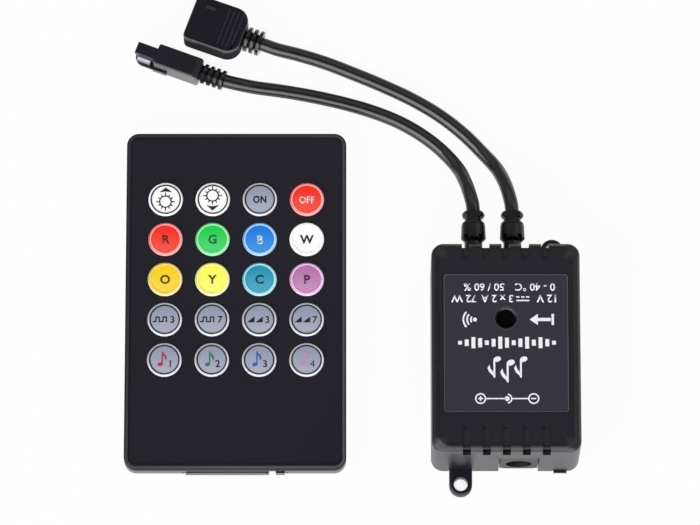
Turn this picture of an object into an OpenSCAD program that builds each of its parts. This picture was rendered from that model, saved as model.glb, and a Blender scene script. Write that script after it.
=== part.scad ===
// LED strip controller: a control box with an output lead, an infrared sensor lead and a card remote.
// Lengths are in millimetres. The origin is the middle of the control box's underside, +Z is up,
// and +Y points to the end wall where the two leads come out.

/* [Control box] */
// Width of the control box
box_w = 36; // [34:0.5:44]
// Length of the control box between its end walls
box_l = 52.2; // [51:0.2:64]
// Height of the control box
box_h = 20; // [19.5:0.5:24]
// Wall of the cover
box_wall = 1.8; // [1.5:0.1:2.1]
// Top of the cover
box_top_t = 1.8; // [1.6:0.1:2.2]
// Corner radius of the cover, seen from above
box_corner_r = 3; // [2.6:0.1:4]
// Rounding of the cover's top edge
box_edge_r = 1.2; // [0.8:0.1:1.5]
// Thickness of the base plate
base_t = 1.6; // [1.2:0.1:1.8]

/* [Vents] */
// Vent slots at each end
vent_count = 5; // [3:1:6]
// Distance between vent slots
vent_pitch = 4.8; // [4.2:0.1:5]
// Width of a vent slot
vent_w = 1.9; // [1.4:0.1:2.2]
// Depth of a vent slot in the top and in the end wall
vent_depth = 1; // [0.6:0.1:1.1]
// Length on top of the slots at the leads' end
vent_run_far = 4.2; // [3.4:0.1:4.8]
// Length on top of the slots at the jack's end
vent_run_near = 6.7; // [4:0.1:7]
// How far the slots run down the end wall at the leads
vent_drop_far = 5; // [3:0.1:5]
// How far the slots run down the end wall at the jack
vent_drop_near = 3; // [2.8:0.1:5]

/* [Label and microphone port] */
// Width of the label well
well_w = 30.4; // [26:0.2:31]
// Length of the label well
well_l = 34.7; // [30:0.1:35]
// Distance of the well's middle from the box's middle
well_y = 1.05; // [0.5:0.05:1.6]
// Corner radius of the label well
well_r = 0.8; // [0.5:0.1:3]
// Depth of the label well
well_depth = 0.35; // [0.3:0.05:0.5]
// Thickness of the label sheet
label_t = 0.15; // [0.1:0.01:0.25]
// Bore of the microphone port
mic_port_d = 4.4; // [3:0.1:5]
// Distance of the microphone port from the box's middle
mic_y = 7.3; // [4:0.1:9]

/* [Mounting ears] */
// Distance of the near ear from the box's centre line
ear_x = 10.8; // [8:0.1:12]
// Distance of the far ear from the box's centre line
far_ear_x = 11.9; // [8:0.1:12]
// Distance of the near ear's hole from its end wall
ear_reach = 3.7; // [3.4:0.1:5]
// Distance of the far ear's hole from its end wall
far_ear_reach = 3.1; // [3:0.1:5]
// Width of an ear
ear_w = 5.6; // [5:0.1:6]
// Thickness of an ear
ear_t = 2.3; // [1.8:0.1:2.6]
// Screw hole in an ear
ear_hole_d = 3.4; // [2.8:0.1:3.8]

/* [Power jack] */
// Distance of the jack from the box's centre line
jack_x = 3.2; // [1:0.2:4]
// Width of the jack
jack_w = 9.2; // [8.8:0.1:10]
// Length of the jack
jack_l = 14; // [13:0.5:15]
// Length of the jack's nose, which passes the wall
jack_nose_l = 3.4; // [3:0.1:4]
// Bore for the plug
jack_bore_d = 6.3; // [5.8:0.1:6.6]
// Centre pin
jack_pin_d = 2.1; // [1.8:0.1:2.5]
// Height of the board above the jack's centre line
jack_rise = 6.5; // [6:0.1:7]

/* [Circuit board] */
// Thickness of the circuit board
board_t = 1.6; // [1.2:0.1:1.6]
// Diameter of the posts that carry the board
post_d = 4.2; // [3.6:0.1:4.6]
// Diameter of the locating pins on the posts
pin_d = 1.9; // [1.5:0.1:2.2]
// Diameter of the microphone capsule
mic_d = 6; // [4:0.5:6.5]
// Height of the microphone capsule
mic_h = 2.7; // [2:0.1:3]

/* [Leads] */
// Diameter of both leads
cord_d = 3.4; // [3:0.1:3.6]
// Distance of the output lead from the box's centre line
output_x = 2; // [1.5:0.5:3]
// Distance of the sensor lead from the box's centre line
sensor_x = -7.5; // [-8:0.5:-6]
// Diameter of a strain relief's barrel
barrel_d = 6.1; // [5.6:0.1:6.4]
// Length of a strain relief's barrel
barrel_l = 4.3; // [3.8:0.1:4.6]
// Bare neck between the end wall and the barrel
relief_neck_l = 3.7; // [3:0.1:4]
// Diameter of that neck
relief_neck_d = 4.4; // [4:0.1:4.8]
// Diameter of the collar at the relief's tip
collar_d = 5.6; // [5:0.1:6]
// Length of that collar
collar_l = 2; // [1.6:0.1:2.2]
// Diameter of the flange inside the wall
flange_d = 6.6; // [6:0.1:7]

/* [Output plug] */
// Width of the four-way plug
plug_w = 12; // [11:0.2:13]
// Length of the plug's body
plug_l = 14.2; // [13:0.2:16]
// Height of the plug
plug_h = 6.5; // [6:0.1:7]
// Corner radius at the plug's front
plug_front_r = 1.4; // [1.2:0.1:1.8]
// Corner radius at the plug's back
plug_back_r = 3.6; // [3:0.1:4]
// Contacts in the plug
way_count = 4; // [2:1:4]
// Distance between the contacts
way_pitch = 2.54; // [2.5:0.04:2.7]
// Width of a contact's square hole
way_hole = 1.1; // [0.9:0.1:1.3]
// Diameter of the plug's ribbed boot
plug_boot_d = 6.3; // [5.8:0.1:6.4]

/* [Sensor head] */
// Width of the sensor head
head_w = 5.3; // [5:0.1:6]
// Length of the head behind its window
head_l = 11.7; // [11:0.1:13]
// Height of the head
head_h = 6.5; // [6.3:0.1:7]
// Length of the open snout in front of the head
snout_l = 5.1; // [4.8:0.1:5.6]
// Diameter of the head's ribbed boot
head_boot_d = 5; // [4.6:0.1:5.6]

/* [Remote] */
// Width of the remote
remote_w = 54; // [54:0.5:60]
// Length of the remote
remote_l = 84.8; // [84:0.2:92]
// Height of the remote's rim
remote_t = 6; // [5.9:0.1:7]
// Corner radius of the remote
remote_r = 3; // [2.4:0.1:4]
// Side wall of the remote
remote_wall = 1.2; // [1:0.1:1.3]
// Floor of the remote
remote_floor_t = 0.9; // [0.8:0.1:1]
// Height of the joint between the remote's two shells
parting_z = 2.6; // [2.4:0.1:2.6]
// Width of the raised rim round the face sheet
rim_w = 1; // [0.8:0.1:1.3]
// Rise of the rim above the face sheet
rim_rise = 0.3; // [0.2:0.05:0.4]
// Thickness of the face sheet
face_t = 0.25; // [0.2:0.05:0.3]
// Gap between the remote and the control box
set_gap = 20.6; // [15:0.2:30]
// How far the remote's middle lies towards the leads
set_shift = 15.6; // [5:0.2:25]

/* [Keys] */
// Distance between columns
key_pitch_x = 11.55; // [10.8:0.05:12]
// Distance between rows
key_pitch_y = 10.17; // [9.8:0.01:10.4]
// How far the middle row lies from the remote's middle, towards its far end
key_grid_y = 5.12; // [4.9:0.02:6]
// Diameter of a key
key_d = 8.5; // [8:0.1:8.8]
// Rise of a key above the face sheet
key_rise = 0.6; // [0.4:0.05:0.8]
// Travel of a key
key_travel = 0.3; // [0.2:0.05:0.35]

/* [Battery drawer] */
// Width of the battery drawer
tray_w = 24.2; // [23.8:0.1:26]
// Diameter of the coin cell
coin_d = 20; // [19:0.1:20]
// Thickness of the coin cell
coin_t = 2.5; // [1.6:0.1:2.5]
// Width of the finger latch
latch_w = 1.5; // [1.3:0.1:1.7]
// Gap between the drawer and its latch
latch_gap = 2.4; // [2:0.1:2.6]

/* [Hidden] */
$fn = 48;
cut = 1; // overrun of a cut
fit_gap = 0.15; // gap between pieces that are put together by hand
seat_gap = 0.05; // gap between pieces that seat on each other
key_cols = 4; // columns of keys
key_rows = 5; // rows of keys

KEY_NAMES = [
    "key_brighter", "key_dimmer", "key_on", "key_off",
    "key_red", "key_green", "key_blue", "key_white",
    "key_orange", "key_yellow", "key_cyan", "key_purple",
    "key_jump_3", "key_jump_7", "key_fade_3", "key_fade_7",
    "key_music_1", "key_music_2", "key_music_3", "key_music_4"
];
KEY_COLORS = [
    "white", "white", "slategray", "red",
    "crimson", "limegreen", "royalblue", "white",
    "orange", "gold", "deepskyblue", "mediumorchid",
    "slategray", "slategray", "slategray", "slategray",
    "silver", "silver", "silver", "silver"
];

// Levels and sizes inside the control box
inner_w = box_w - 2 * box_wall;
inner_l = box_l - 2 * box_wall;
inner_r = box_corner_r - box_wall;
ceiling_z = box_h - box_top_t;
cover_lift = 0.25; // the base plate stands this much lower than the cover
jack_floor_gap = 0.75;
jack_skin = 1.35; // plastic below the jack's bore
jack_z = base_t + jack_floor_gap + jack_skin + jack_bore_d / 2;
jack_bottom = jack_z - jack_bore_d / 2 - jack_skin;
board_z = jack_z + jack_rise;
board_top = board_z + board_t;
board_side_gap = 0.5;
board_w = inner_w - 2 * board_side_gap;
board_l = inner_l - 2 * board_side_gap;
relief_board_gap = 1.55;
relief_z = board_z - flange_d / 2 - relief_board_gap;

// Posts that carry the board, and the cover's hold-downs above them
post_inset_x = 3.7;
post_inset_y = 8.5;
post_x = inner_w / 2 - post_inset_x;
post_y = inner_l / 2 - post_inset_y;
pin_rise = 1; // pins stand this much above the board
hold_d = post_d + 0.2 * pin_d;
hold_wall_gap = 0.2;

// Snap hooks of the base plate
snap_l = 6;
snap_t = 1.2;
snap_y_share = 0.24;
snap_y = snap_y_share * box_l;
snap_h = 5;
barb_h = 1.3;
barb_out = 0.6;

// Pry tab of the base plate, which shows at the foot of the end wall
tab_x = 13.4;
tab_w = 3.2;
tab_h = 0.9;
tab_out = 0.5;

vent_lintel = 0.3; // wall left between a vent's window and the cover's ceiling
port_chamfer = 0.4;

// Far end of each lead: the middle of the plug's and the head's front face, and how they are turned
plug_at = [-77.3, 88.4, 0];
plug_turn = -20;
head_at = [-85.6, 78.7, 0];
head_turn = -20.5;
boot_rib_t = 0.9;
plug_boot_l = 4.6;
plug_boot_ribs = 3;
head_boot_l = 6.2;
head_boot_ribs = 4;

// The remote's place and the levels inside it
remote_at = [-box_w / 2 - set_gap - remote_w / 2, set_shift, 0];
face_z = remote_t - rim_rise - face_t;
plate_t = 0.7;
plate_z = face_z - plate_t;
remote_board_rise = 2.1; // room for the parts under the remote's board
remote_board_z = remote_floor_t + remote_board_rise;
remote_board_t = 0.8;
remote_board_top = remote_board_z + remote_board_t;
dome_left = 0.1; // height that a dome keeps when its key is down
dome_h = key_travel + dome_left;
key_gap = 0.12;
key_hole_r = key_d / 2 + key_gap;
key_flange_t = 0.38;
key_flange_out = 0.5;
key_play = 0.07;
key_flange_z = plate_z - key_play - key_flange_t;
key_top = face_z + face_t + key_rise;
remote_edge_r = 0.35;
remote_foot_r = 0.8;
lip_t = 0.7; // wall of the lip that holds the two shells in line
lip_h = 0.6; // depth of that lip below the joint
lip_gap = 0.1;
lip_root_t = 0.3; // web that joins the lip to the front shell's wall

// Battery drawer
tray_gap = 0.15;
tray_lift = 0.1;
tray_floor_t = 0.25;
coin_gap = 0.1;
coin_z = tray_lift + tray_floor_t;
coin_top = coin_z + coin_t;
tray_end_t = 1.2;
tray_back_t = 0.8;
tray_l = tray_end_t + coin_d + 2 * coin_gap + tray_back_t;
tray_h = 2.4;
tray_end_h = coin_top + coin_gap;
rail_t = 1.2;
tongue_out = 0.6;
tongue_h = 0.6;
tongue_z = 1.05;
bay_clear = 0.2;
bay_l = tray_l + bay_clear;
bay_w = tray_w + 2 * tray_gap;
bay_top = tray_end_h + coin_gap;
front_y = -remote_l / 2;
coin_y = front_y + tray_end_t + coin_gap + coin_d / 2;
scoop_depth = 0.8;
scoop_z = 0.6;
scoop_h = 1.7;
scoop_margin = 0.9;
lip_out = 0.3;
latch_l = 12;
latch_z = 0.3;
latch_h = 2;
latch_pivot_gap = 0.05;
latch_x = tray_w / 2 - latch_w / 2;
latch_root_y = front_y + latch_l;
nib_out = 0.1; // the nib stands within the drawer's gap, so the drawer slides past the wall
nib_l = 1.2;
nib_y = front_y + 3;
notch_d = 0.6;

board_near_y = front_y + bay_l - 0.1 * tray_back_t;
board_far_gap = 0.6;
board_far_y = remote_l / 2 - remote_wall - board_far_gap;
led_d = 3;
led_z = remote_board_z;
led_body_l = 4;
led_tip_out = 0.2;
led_flange_d = 3.4;
led_flange_t = 0.9;
led_y = remote_l / 2 - remote_wall - seat_gap;

// Shapes that repeat

// A rectangle with round corners
module round_rect(w, l, r) {
    square([w - 2 * r, l], center = true);
    square([w, l - 2 * r], center = true);
    for (sx = [-1, 1], sy = [-1, 1])
        translate([sx * (w / 2 - r), sy * (l / 2 - r)]) circle(r);
}

// A rectangle standing on its foot, with its two upper corners rounded
module dome_rect(w, h, e) {
    translate([-w / 2, 0]) square([w, h - e]);
    translate([e - w / 2, 0]) square([w - 2 * e, h]);
    for (s = [-1, 1]) translate([s * (w / 2 - e), h - e]) circle(e);
}

// A round post with a rounded top edge
module post(r, h, e) {
    rotate_extrude() difference() {
        square([r, h]);
        translate([r - e, h - e]) difference() {
            square([e + cut, e + cut]);
            circle(e);
        }
    }
}

// A block with round corners and a rounded top edge
module soft_block(w, l, h, r, e) {
    rotate([90, 0, 0]) linear_extrude(l - 2 * r, center = true) dome_rect(w, h, e);
    rotate([90, 0, 90]) linear_extrude(w - 2 * r, center = true) dome_rect(l, h, e);
    for (sx = [-1, 1], sy = [-1, 1]) translate([sx * (w / 2 - r), sy * (l / 2 - r), 0]) post(r, h, e);
}

// A solid turned about the Y axis from pairs of distance along Y and diameter
module turned(steps) {
    far = len(steps) - 1;
    rotate([-90, 0, 0]) rotate_extrude()
        polygon(concat([[0, steps[0][0]]], [for (s = steps) [s[1] / 2, s[0]]], [[0, steps[far][0]]]));
}

// A ribbed boot along +X, from a plug's back face to the cord
module ribbed_boot(d, l, ribs) {
    gap = (l - ribs * boot_rib_t) / ribs;
    core = (d + 2 * cord_d) / 3;
    rotate([0, 90, 0]) cylinder(h = l, d1 = core, d2 = (core + cord_d) / 2);
    for (i = [0 : ribs - 1]) translate([gap + i * (gap + boot_rib_t), 0, 0])
        rotate([0, 90, 0]) cylinder(h = boot_rib_t, d = d);
}

// Places a plug or a head, whose own +X runs towards its cord
module placed(at, turn) {
    translate(at) rotate([0, 0, turn]) children();
}

module on_remote() {
    translate(remote_at) children();
}

function key_at(c, r) = [
    (c - (key_cols - 1) / 2) * key_pitch_x,
    key_grid_y + ((key_rows - 1) / 2 - r) * key_pitch_y
];

module at_posts() {
    for (sx = [-1, 1], sy = [-1, 1]) translate([sx * post_x, sy * post_y, 0]) children();
}

// Places between the remote's keys, where its shells hold the board
module at_remote_posts() {
    for (c = [0.5 : 1 : key_cols - 1.5], r = [0.5, key_rows - 1.5]) translate(key_at(c, r)) children();
}
remote_post_d = 3;
remote_pin_d = 1.4;

// The cover

// Slots that start on top, run over the edge and end in windows through the end wall
module vent_cuts(run, drop) {
    foot_z = box_h - drop;
    for (i = [0 : vent_count - 1]) translate([(i - (vent_count - 1) / 2) * vent_pitch, 0, 0]) {
        translate([0, vent_w / 2 - run, box_h - vent_depth]) linear_extrude(vent_depth + cut) {
            circle(d = vent_w);
            translate([-vent_w / 2, 0]) square([vent_w, run + cut]);
        }
        translate([-vent_w / 2, -vent_depth, foot_z]) cube([vent_w, vent_depth + cut, drop + cut]);
        translate([-vent_w / 2, -box_wall - cut, foot_z])
            cube([vent_w, box_wall + 2 * cut, ceiling_z - vent_lintel - foot_z]);
    }
}

module relief_slot(x) {
    translate([x, inner_l / 2 - cut, relief_z]) {
        rotate([-90, 0, 0]) cylinder(h = box_wall + 2 * cut, d = relief_neck_d + 2 * seat_gap);
        translate([-relief_neck_d / 2 - seat_gap, 0, -relief_z - cut])
            cube([relief_neck_d + 2 * seat_gap, box_wall + 2 * cut, relief_z + cut]);
    }
}

module jack_opening() {
    w = jack_w + 2 * fit_gap + 2 * seat_gap;
    translate([jack_x - w / 2, -box_l / 2 - cut, -cut])
        cube([w, box_wall + 2 * cut, board_z + fit_gap + cut]);
}

ear_xs = [far_ear_x, ear_x]; // far ear first
module ear_notches() {
    w = ear_w + 2 * fit_gap;
    for (i = [0, 1]) rotate([0, 0, 180 * i]) translate([ear_xs[i] - w / 2, inner_l / 2 - cut, -cut])
        cube([w, box_wall + 2 * cut, ear_t + fit_gap + cut]);
}

module top_cover() color([0.17, 0.16, 0.19]) {
    difference() {
        translate([0, 0, cover_lift])
            soft_block(box_w, box_l, box_h - cover_lift, box_corner_r, box_edge_r);
        translate([0, 0, -cut]) linear_extrude(ceiling_z + cut) round_rect(inner_w, inner_l, inner_r);
        translate([0, well_y, box_h - well_depth])
            linear_extrude(well_depth + cut) round_rect(well_w, well_l, well_r);
        translate([0, mic_y, ceiling_z - cut]) cylinder(h = box_top_t + 2 * cut, d = mic_port_d);
        translate([0, mic_y, box_h - well_depth - port_chamfer])
            cylinder(h = port_chamfer + cut, d1 = mic_port_d, d2 = mic_port_d + 2 * (port_chamfer + cut));
        translate([0, box_l / 2, 0]) vent_cuts(vent_run_far, vent_drop_far);
        mirror([0, 1, 0]) translate([0, box_l / 2, 0]) vent_cuts(vent_run_near, vent_drop_near);
        jack_opening();
        ear_notches();
        relief_slot(output_x);
        relief_slot(sensor_x);
        translate([tab_x - tab_w / 2 - fit_gap, -box_l / 2 - cut, -cut])
            cube([tab_w + 2 * fit_gap, box_wall + 2 * cut, tab_h + fit_gap + cut]);
        for (sx = [-1, 1], sy = [-1, 1]) translate([
            sx * (inner_w / 2 + barb_out / 2 + fit_gap / 2 - cut / 2),
            sy * snap_y,
            base_t + snap_h - barb_h / 2
        ]) cube([barb_out + fit_gap + cut, snap_l + 2 * fit_gap, barb_h + 2 * fit_gap], center = true);
    }
    difference() {
        at_posts() translate([0, 0, board_top]) cylinder(h = ceiling_z - board_top, d = hold_d);
        at_posts() translate([0, 0, board_top - cut])
            cylinder(h = cut + pin_rise + hold_wall_gap, d = pin_d + 2 * hold_wall_gap);
    }
}

// The base plate, with its ears, posts, hooks and the cradles under the strain reliefs
ear_edge_r = 0.6;
module ear(reach) {
    hole_y = box_l / 2 + reach;
    root_y = inner_l / 2 - ear_w / 2;
    difference() {
        union() {
            translate([0, hole_y, 0]) rotate([90, 0, 0])
                linear_extrude(hole_y - root_y) dome_rect(ear_w, ear_t, ear_edge_r);
            translate([0, hole_y, 0]) rotate_extrude() intersection() {
                dome_rect(ear_w, ear_t, ear_edge_r);
                square([ear_w, ear_t]);
            }
        }
        translate([0, hole_y, -cut]) cylinder(h = ear_t + 2 * cut, d = ear_hole_d);
    }
}

module snap_hook() {
    translate([inner_w / 2 - fit_gap - snap_t, -snap_l / 2, 0]) {
        cube([snap_t, snap_l, base_t + snap_h]);
        translate([snap_t, snap_l, base_t + snap_h - barb_h]) rotate([90, 0, 0]) linear_extrude(snap_l)
            polygon([[-snap_t / 2, 0], [0, 0], [barb_out, barb_h / 3], [0, barb_h], [-snap_t / 2, barb_h]]);
    }
}

module relief_cradle(x) {
    w = relief_neck_d - 2 * seat_gap;
    difference() {
        translate([x - w / 2, inner_l / 2 - fit_gap - cut, 0]) cube([w, box_wall + fit_gap + cut, relief_z]);
        translate([x, inner_l / 2 - 2 * cut, relief_z]) rotate([-90, 0, 0])
            cylinder(h = box_wall + 4 * cut, d = relief_neck_d);
        translate([x - w, inner_l / 2 - fit_gap - 2 * cut, base_t])
            cube([2 * w, 2 * cut, relief_z]);
    }
}

module base_plate() color([0.15, 0.14, 0.17]) {
    linear_extrude(base_t) round_rect(inner_w - 2 * fit_gap, inner_l - 2 * fit_gap, inner_r);
    translate([far_ear_x, 0, 0]) ear(far_ear_reach);
    rotate([0, 0, 180]) translate([ear_x, 0, 0]) ear(ear_reach);
    at_posts() {
        cylinder(h = board_z, d = post_d);
        cylinder(h = board_top + pin_rise, d = pin_d);
    }
    for (a = [0, 180], sy = [-1, 1]) rotate([0, 0, a]) translate([0, sy * snap_y, 0]) snap_hook();
    relief_cradle(output_x);
    relief_cradle(sensor_x);
    translate([tab_x - tab_w / 2, -box_l / 2 - tab_out, 0])
        cube([tab_w, box_wall + fit_gap + tab_out + cut, tab_h]);
}

module label() color([0.25, 0.24, 0.27])
    translate([0, 0, box_h - well_depth]) linear_extrude(label_t) difference() {
        translate([0, well_y]) round_rect(well_w - 2 * fit_gap, well_l - 2 * fit_gap, well_r - fit_gap);
        translate([0, mic_y]) circle(d = mic_port_d + 2 * port_chamfer + 2 * fit_gap);
    }

// The circuit board and what stands on it
module main_board() color([0.1, 0.35, 0.16])
    translate([0, 0, board_z]) linear_extrude(board_t) difference() {
        round_rect(board_w, board_l, inner_r);
        at_posts() circle(d = pin_d + 2 * seat_gap);
    }

jack_face_y = fit_gap - box_l / 2 + seat_gap;
jack_corner = 1.3;
jack_bore_l = 9.5;
jack_step = 0.1; // the block behind the nose is this much narrower on each side
jack_rear_w = jack_w - 2 * jack_step;
spring_slot_w = 1.8;
spring_t = 0.3;
jack_pin_short = 1;

module dc_jack() color([0.08, 0.08, 0.09]) {
    side = jack_w / 2;
    bevel_z = jack_bottom + jack_corner / 2;
    translate([jack_x, jack_face_y, 0]) difference() {
        union() {
            rotate([-90, 0, 0]) linear_extrude(jack_nose_l + cut) mirror([0, 1]) polygon([
                [jack_corner - side, jack_bottom], [side - jack_corner, jack_bottom], [side, bevel_z],
                [side, board_z], [-side, board_z], [-side, bevel_z]
            ]);
            translate([-jack_rear_w / 2, jack_nose_l, jack_bottom])
                cube([jack_rear_w, jack_l - jack_nose_l, board_z - jack_bottom]);
        }
        translate([0, -cut, jack_z]) rotate([-90, 0, 0]) cylinder(h = jack_bore_l + cut, d = jack_bore_d);
        translate([-spring_slot_w / 2, jack_nose_l + seat_gap, jack_z])
            cube([spring_slot_w, jack_bore_l - jack_nose_l, jack_rise - 2 * spring_t]);
    }
}

module jack_pin() color([0.85, 0.86, 0.88])
    translate([jack_x, jack_face_y, jack_z]) turned([
        [jack_pin_short, jack_pin_d / 3], [jack_pin_short + jack_pin_d / 6, 0.8 * jack_pin_d],
        [jack_pin_short + jack_pin_d / 3, jack_pin_d], [jack_bore_l, jack_pin_d]
    ]);

// A bent leaf that hangs in the jack's slot and touches the plug's sleeve
module jack_spring() color([0.8, 0.72, 0.5]) {
    top = jack_bore_d / 2 + jack_rise / 3;
    run = jack_bore_l - jack_nose_l;
    low = 0.42 * jack_bore_d;
    w = spring_slot_w - 2 * fit_gap;
    translate([jack_x - w / 2, jack_face_y + jack_nose_l + seat_gap, jack_z]) rotate([90, 0, 90])
        linear_extrude(w) polygon([
            [run, top], [run, top - spring_t], [0.5 * run, low], [0.25 * run, low],
            [0.1 * run, top - spring_t], [0.1 * run + spring_t, top],
            [0.25 * run + spring_t, low + spring_t], [0.5 * run - spring_t, low + spring_t],
            [run - spring_t, top]
        ]);
}

boot_wall = 1;
mic_leg_d = 0.5;
module microphone() color([0.75, 0.76, 0.78])
    translate([0, mic_y, 0]) {
        translate([0, 0, ceiling_z - seat_gap - mic_h]) cylinder(h = mic_h, d = mic_d);
        for (s = [-1, 1]) translate([s * mic_d / 5, 0, board_top])
            cylinder(h = ceiling_z - seat_gap - mic_h - board_top, d = mic_leg_d);
    }

module microphone_boot() color([0.12, 0.12, 0.12])
    translate([0, mic_y, board_top]) difference() {
        cylinder(h = ceiling_z - board_top, d = mic_d + 2 * boot_wall);
        translate([0, 0, -cut]) cylinder(h = ceiling_z - board_top + 2 * cut, d = mic_d + 2 * seat_gap);
    }

// A chip with gull-wing legs on both long sides, hanging under a board whose lower face is at z
module chip(at, z, w, l, t, legs) {
    leg_w = 0.42 * l / legs;
    translate([at[0], at[1], z - t]) {
        translate([-w / 2, -l / 2, t / 12]) cube([w, l, t - t / 6]);
        for (s = [-1, 1], i = [0 : legs - 1])
            translate([s * 0.62 * w, (i + 0.5) * l / legs - l / 2, 0.75 * t])
                cube([0.3 * w, leg_w, t / 2], center = true);
    }
}

// Places on the board are shares of its half width and half length
controller_share = [-0.42, -0.1];
amplifier_share = [0.42, 0.3];
regulator_share = [-0.4, -0.72];
capacitor_share = [0.72, -0.1];
component_share = [
    [-0.55, 0.6], [-0.3, 0.75], [0.5, 0.62], [0.75, 0.45], [-0.65, 0.1], [0.62, 0.05],
    [-0.25, -0.25], [0.2, -0.35], [0.7, -0.4], [-0.6, -0.5], [-0.1, -0.7], [0.35, -0.75]
];
function on_board(share) = [share[0] * board_w / 2, share[1] * board_l / 2];

chip_t = 1.6;
controller_w = 3.9;
controller_l = 9.9;
controller_legs = 8; // on each side
amplifier_w = 3.9;
amplifier_l = 4.9;
amplifier_legs = 4;
module controller_chip() color([0.1, 0.1, 0.11])
    chip(on_board(controller_share), board_z, controller_w, controller_l, chip_t, controller_legs);

module amplifier_chip() color([0.1, 0.1, 0.11])
    chip(on_board(amplifier_share), board_z, amplifier_w, amplifier_l, chip_t, amplifier_legs);

transistor_w = 2.2;
transistor_l = 3;
transistor_t = 1.1;
transistor_legs = 2;
transistor_count = 3; // one for each colour, in a row beside a post
transistor_pitch = 4.9;
module output_transistors() color([0.12, 0.12, 0.13])
    for (i = [1 : transistor_count])
        chip([-post_x, post_y - i * transistor_pitch], board_z, transistor_w, transistor_l, transistor_t,
            transistor_legs);

regulator_w = 4.5;
regulator_l = 2.5;
regulator_t = 1.5;
module voltage_regulator() color([0.12, 0.12, 0.13])
    translate(concat(on_board(regulator_share), [board_z - regulator_t])) {
        translate([-regulator_w / 2, -regulator_l / 2, 0]) cube([regulator_w, regulator_l, regulator_t]);
        for (i = [-1 : 1])
            translate([i * regulator_w / 3, regulator_l / 2 + regulator_l / 6, regulator_t - spring_t / 2])
                cube([regulator_w / 9, regulator_l / 2, spring_t], center = true);
    }

capacitor_d = 5;
capacitor_l = 7;
module filter_capacitor() color([0.16, 0.18, 0.3])
    translate(concat(on_board(capacitor_share), [board_z - capacitor_l])) rotate_extrude() polygon([
        [0, 0], [0.45 * capacitor_d, 0], [0.5 * capacitor_d, 0.05 * capacitor_l],
        [0.5 * capacitor_d, 0.82 * capacitor_l], [0.46 * capacitor_d, 0.86 * capacitor_l],
        [0.5 * capacitor_d, 0.9 * capacitor_l], [0.5 * capacitor_d, capacitor_l], [0, capacitor_l]
    ]);

component_l = 1.6;
component_w = 0.8;
component_t = 0.5;
module chip_components() color([0.55, 0.5, 0.4])
    for (s = component_share) translate(concat(on_board(s), [board_top + component_t / 2]))
        cube([component_l, component_w, component_t], center = true);

// Strain reliefs in the end wall, and the wires behind them
relief_taper_l = 0.8;
relief_waist_l = 0.4;
relief_waist_d = 4.1;
relief_flange_l = 1.8;
pocket_w = 0.9;
groove_w = 0.25;
relief_y = box_l / 2;

module relief(x) {
    barrel_y = relief_neck_l;
    taper_y = barrel_y + barrel_l;
    waist_y = taper_y + relief_taper_l;
    collar_y = waist_y + relief_waist_l;
    inside_y = -box_wall - fit_gap;
    translate([x, relief_y, relief_z]) difference() {
        turned([
            [inside_y - relief_flange_l, flange_d], [inside_y, flange_d], [inside_y, relief_neck_d],
            [barrel_y - 0.1 * barrel_l, relief_neck_d], [barrel_y, barrel_d - pocket_w],
            [barrel_y + 0.1 * barrel_l, barrel_d], [taper_y - 2 * groove_w, 0.96 * barrel_d],
            [taper_y - groove_w, 0.84 * barrel_d], [taper_y, 0.84 * barrel_d], [taper_y, 0.92 * barrel_d],
            [waist_y, relief_waist_d], [collar_y, relief_waist_d],
            [collar_y + 0.15 * collar_l, 0.9 * collar_d], [collar_y + 0.4 * collar_l, collar_d],
            [collar_y + 0.65 * collar_l, 0.98 * collar_d], [collar_y + 0.9 * collar_l, 0.84 * collar_d],
            [collar_y + collar_l, 0.7 * collar_d]
        ]);
        // pockets round the barrel's inner end, which let it bend
        for (a = [35, 145, 215, 325]) rotate([0, a, 0])
            translate([0, barrel_y + 0.16 * barrel_l, barrel_d / 2])
                cube([1.4 * pocket_w, pocket_w, 2 * pocket_w], center = true);
        // cuts that leave two lobes on the collar
        for (s = [-1, 1]) translate([0, collar_y + collar_l / 2, s * collar_d / 2])
            cube([0.62 * collar_d, collar_l + cut, 0.28 * collar_d], center = true);
    }
}

module output_relief() color([0.1, 0.1, 0.11]) relief(output_x);
module sensor_relief() color([0.1, 0.1, 0.11]) relief(sensor_x);

wire_d = 1;
wire_run = 1.6;
wire_bend_r = 1.2;
sensor_wire_count = 3;
// Insulated wires that leave a relief side by side and turn up into the board
module wires(x, count) {
    start_y = relief_y - box_wall - fit_gap - relief_flange_l;
    pitch = 1.15 * wire_d;
    for (i = [0 : count - 1]) translate([x + (i - (count - 1) / 2) * pitch, start_y, relief_z]) {
        rotate([90, 0, 0]) cylinder(h = wire_run, d = wire_d);
        translate([0, -wire_run, wire_bend_r]) rotate([0, 90, 180]) rotate_extrude(angle = 90)
            translate([wire_bend_r, 0]) circle(d = wire_d);
        translate([0, -wire_run - wire_bend_r, wire_bend_r])
            cylinder(h = board_z - relief_z - wire_bend_r, d = wire_d);
    }
}
module output_wires() color([0.75, 0.2, 0.15]) wires(output_x, way_count);
module sensor_wires() color([0.2, 0.3, 0.7]) wires(sensor_x, sensor_wire_count);

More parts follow.
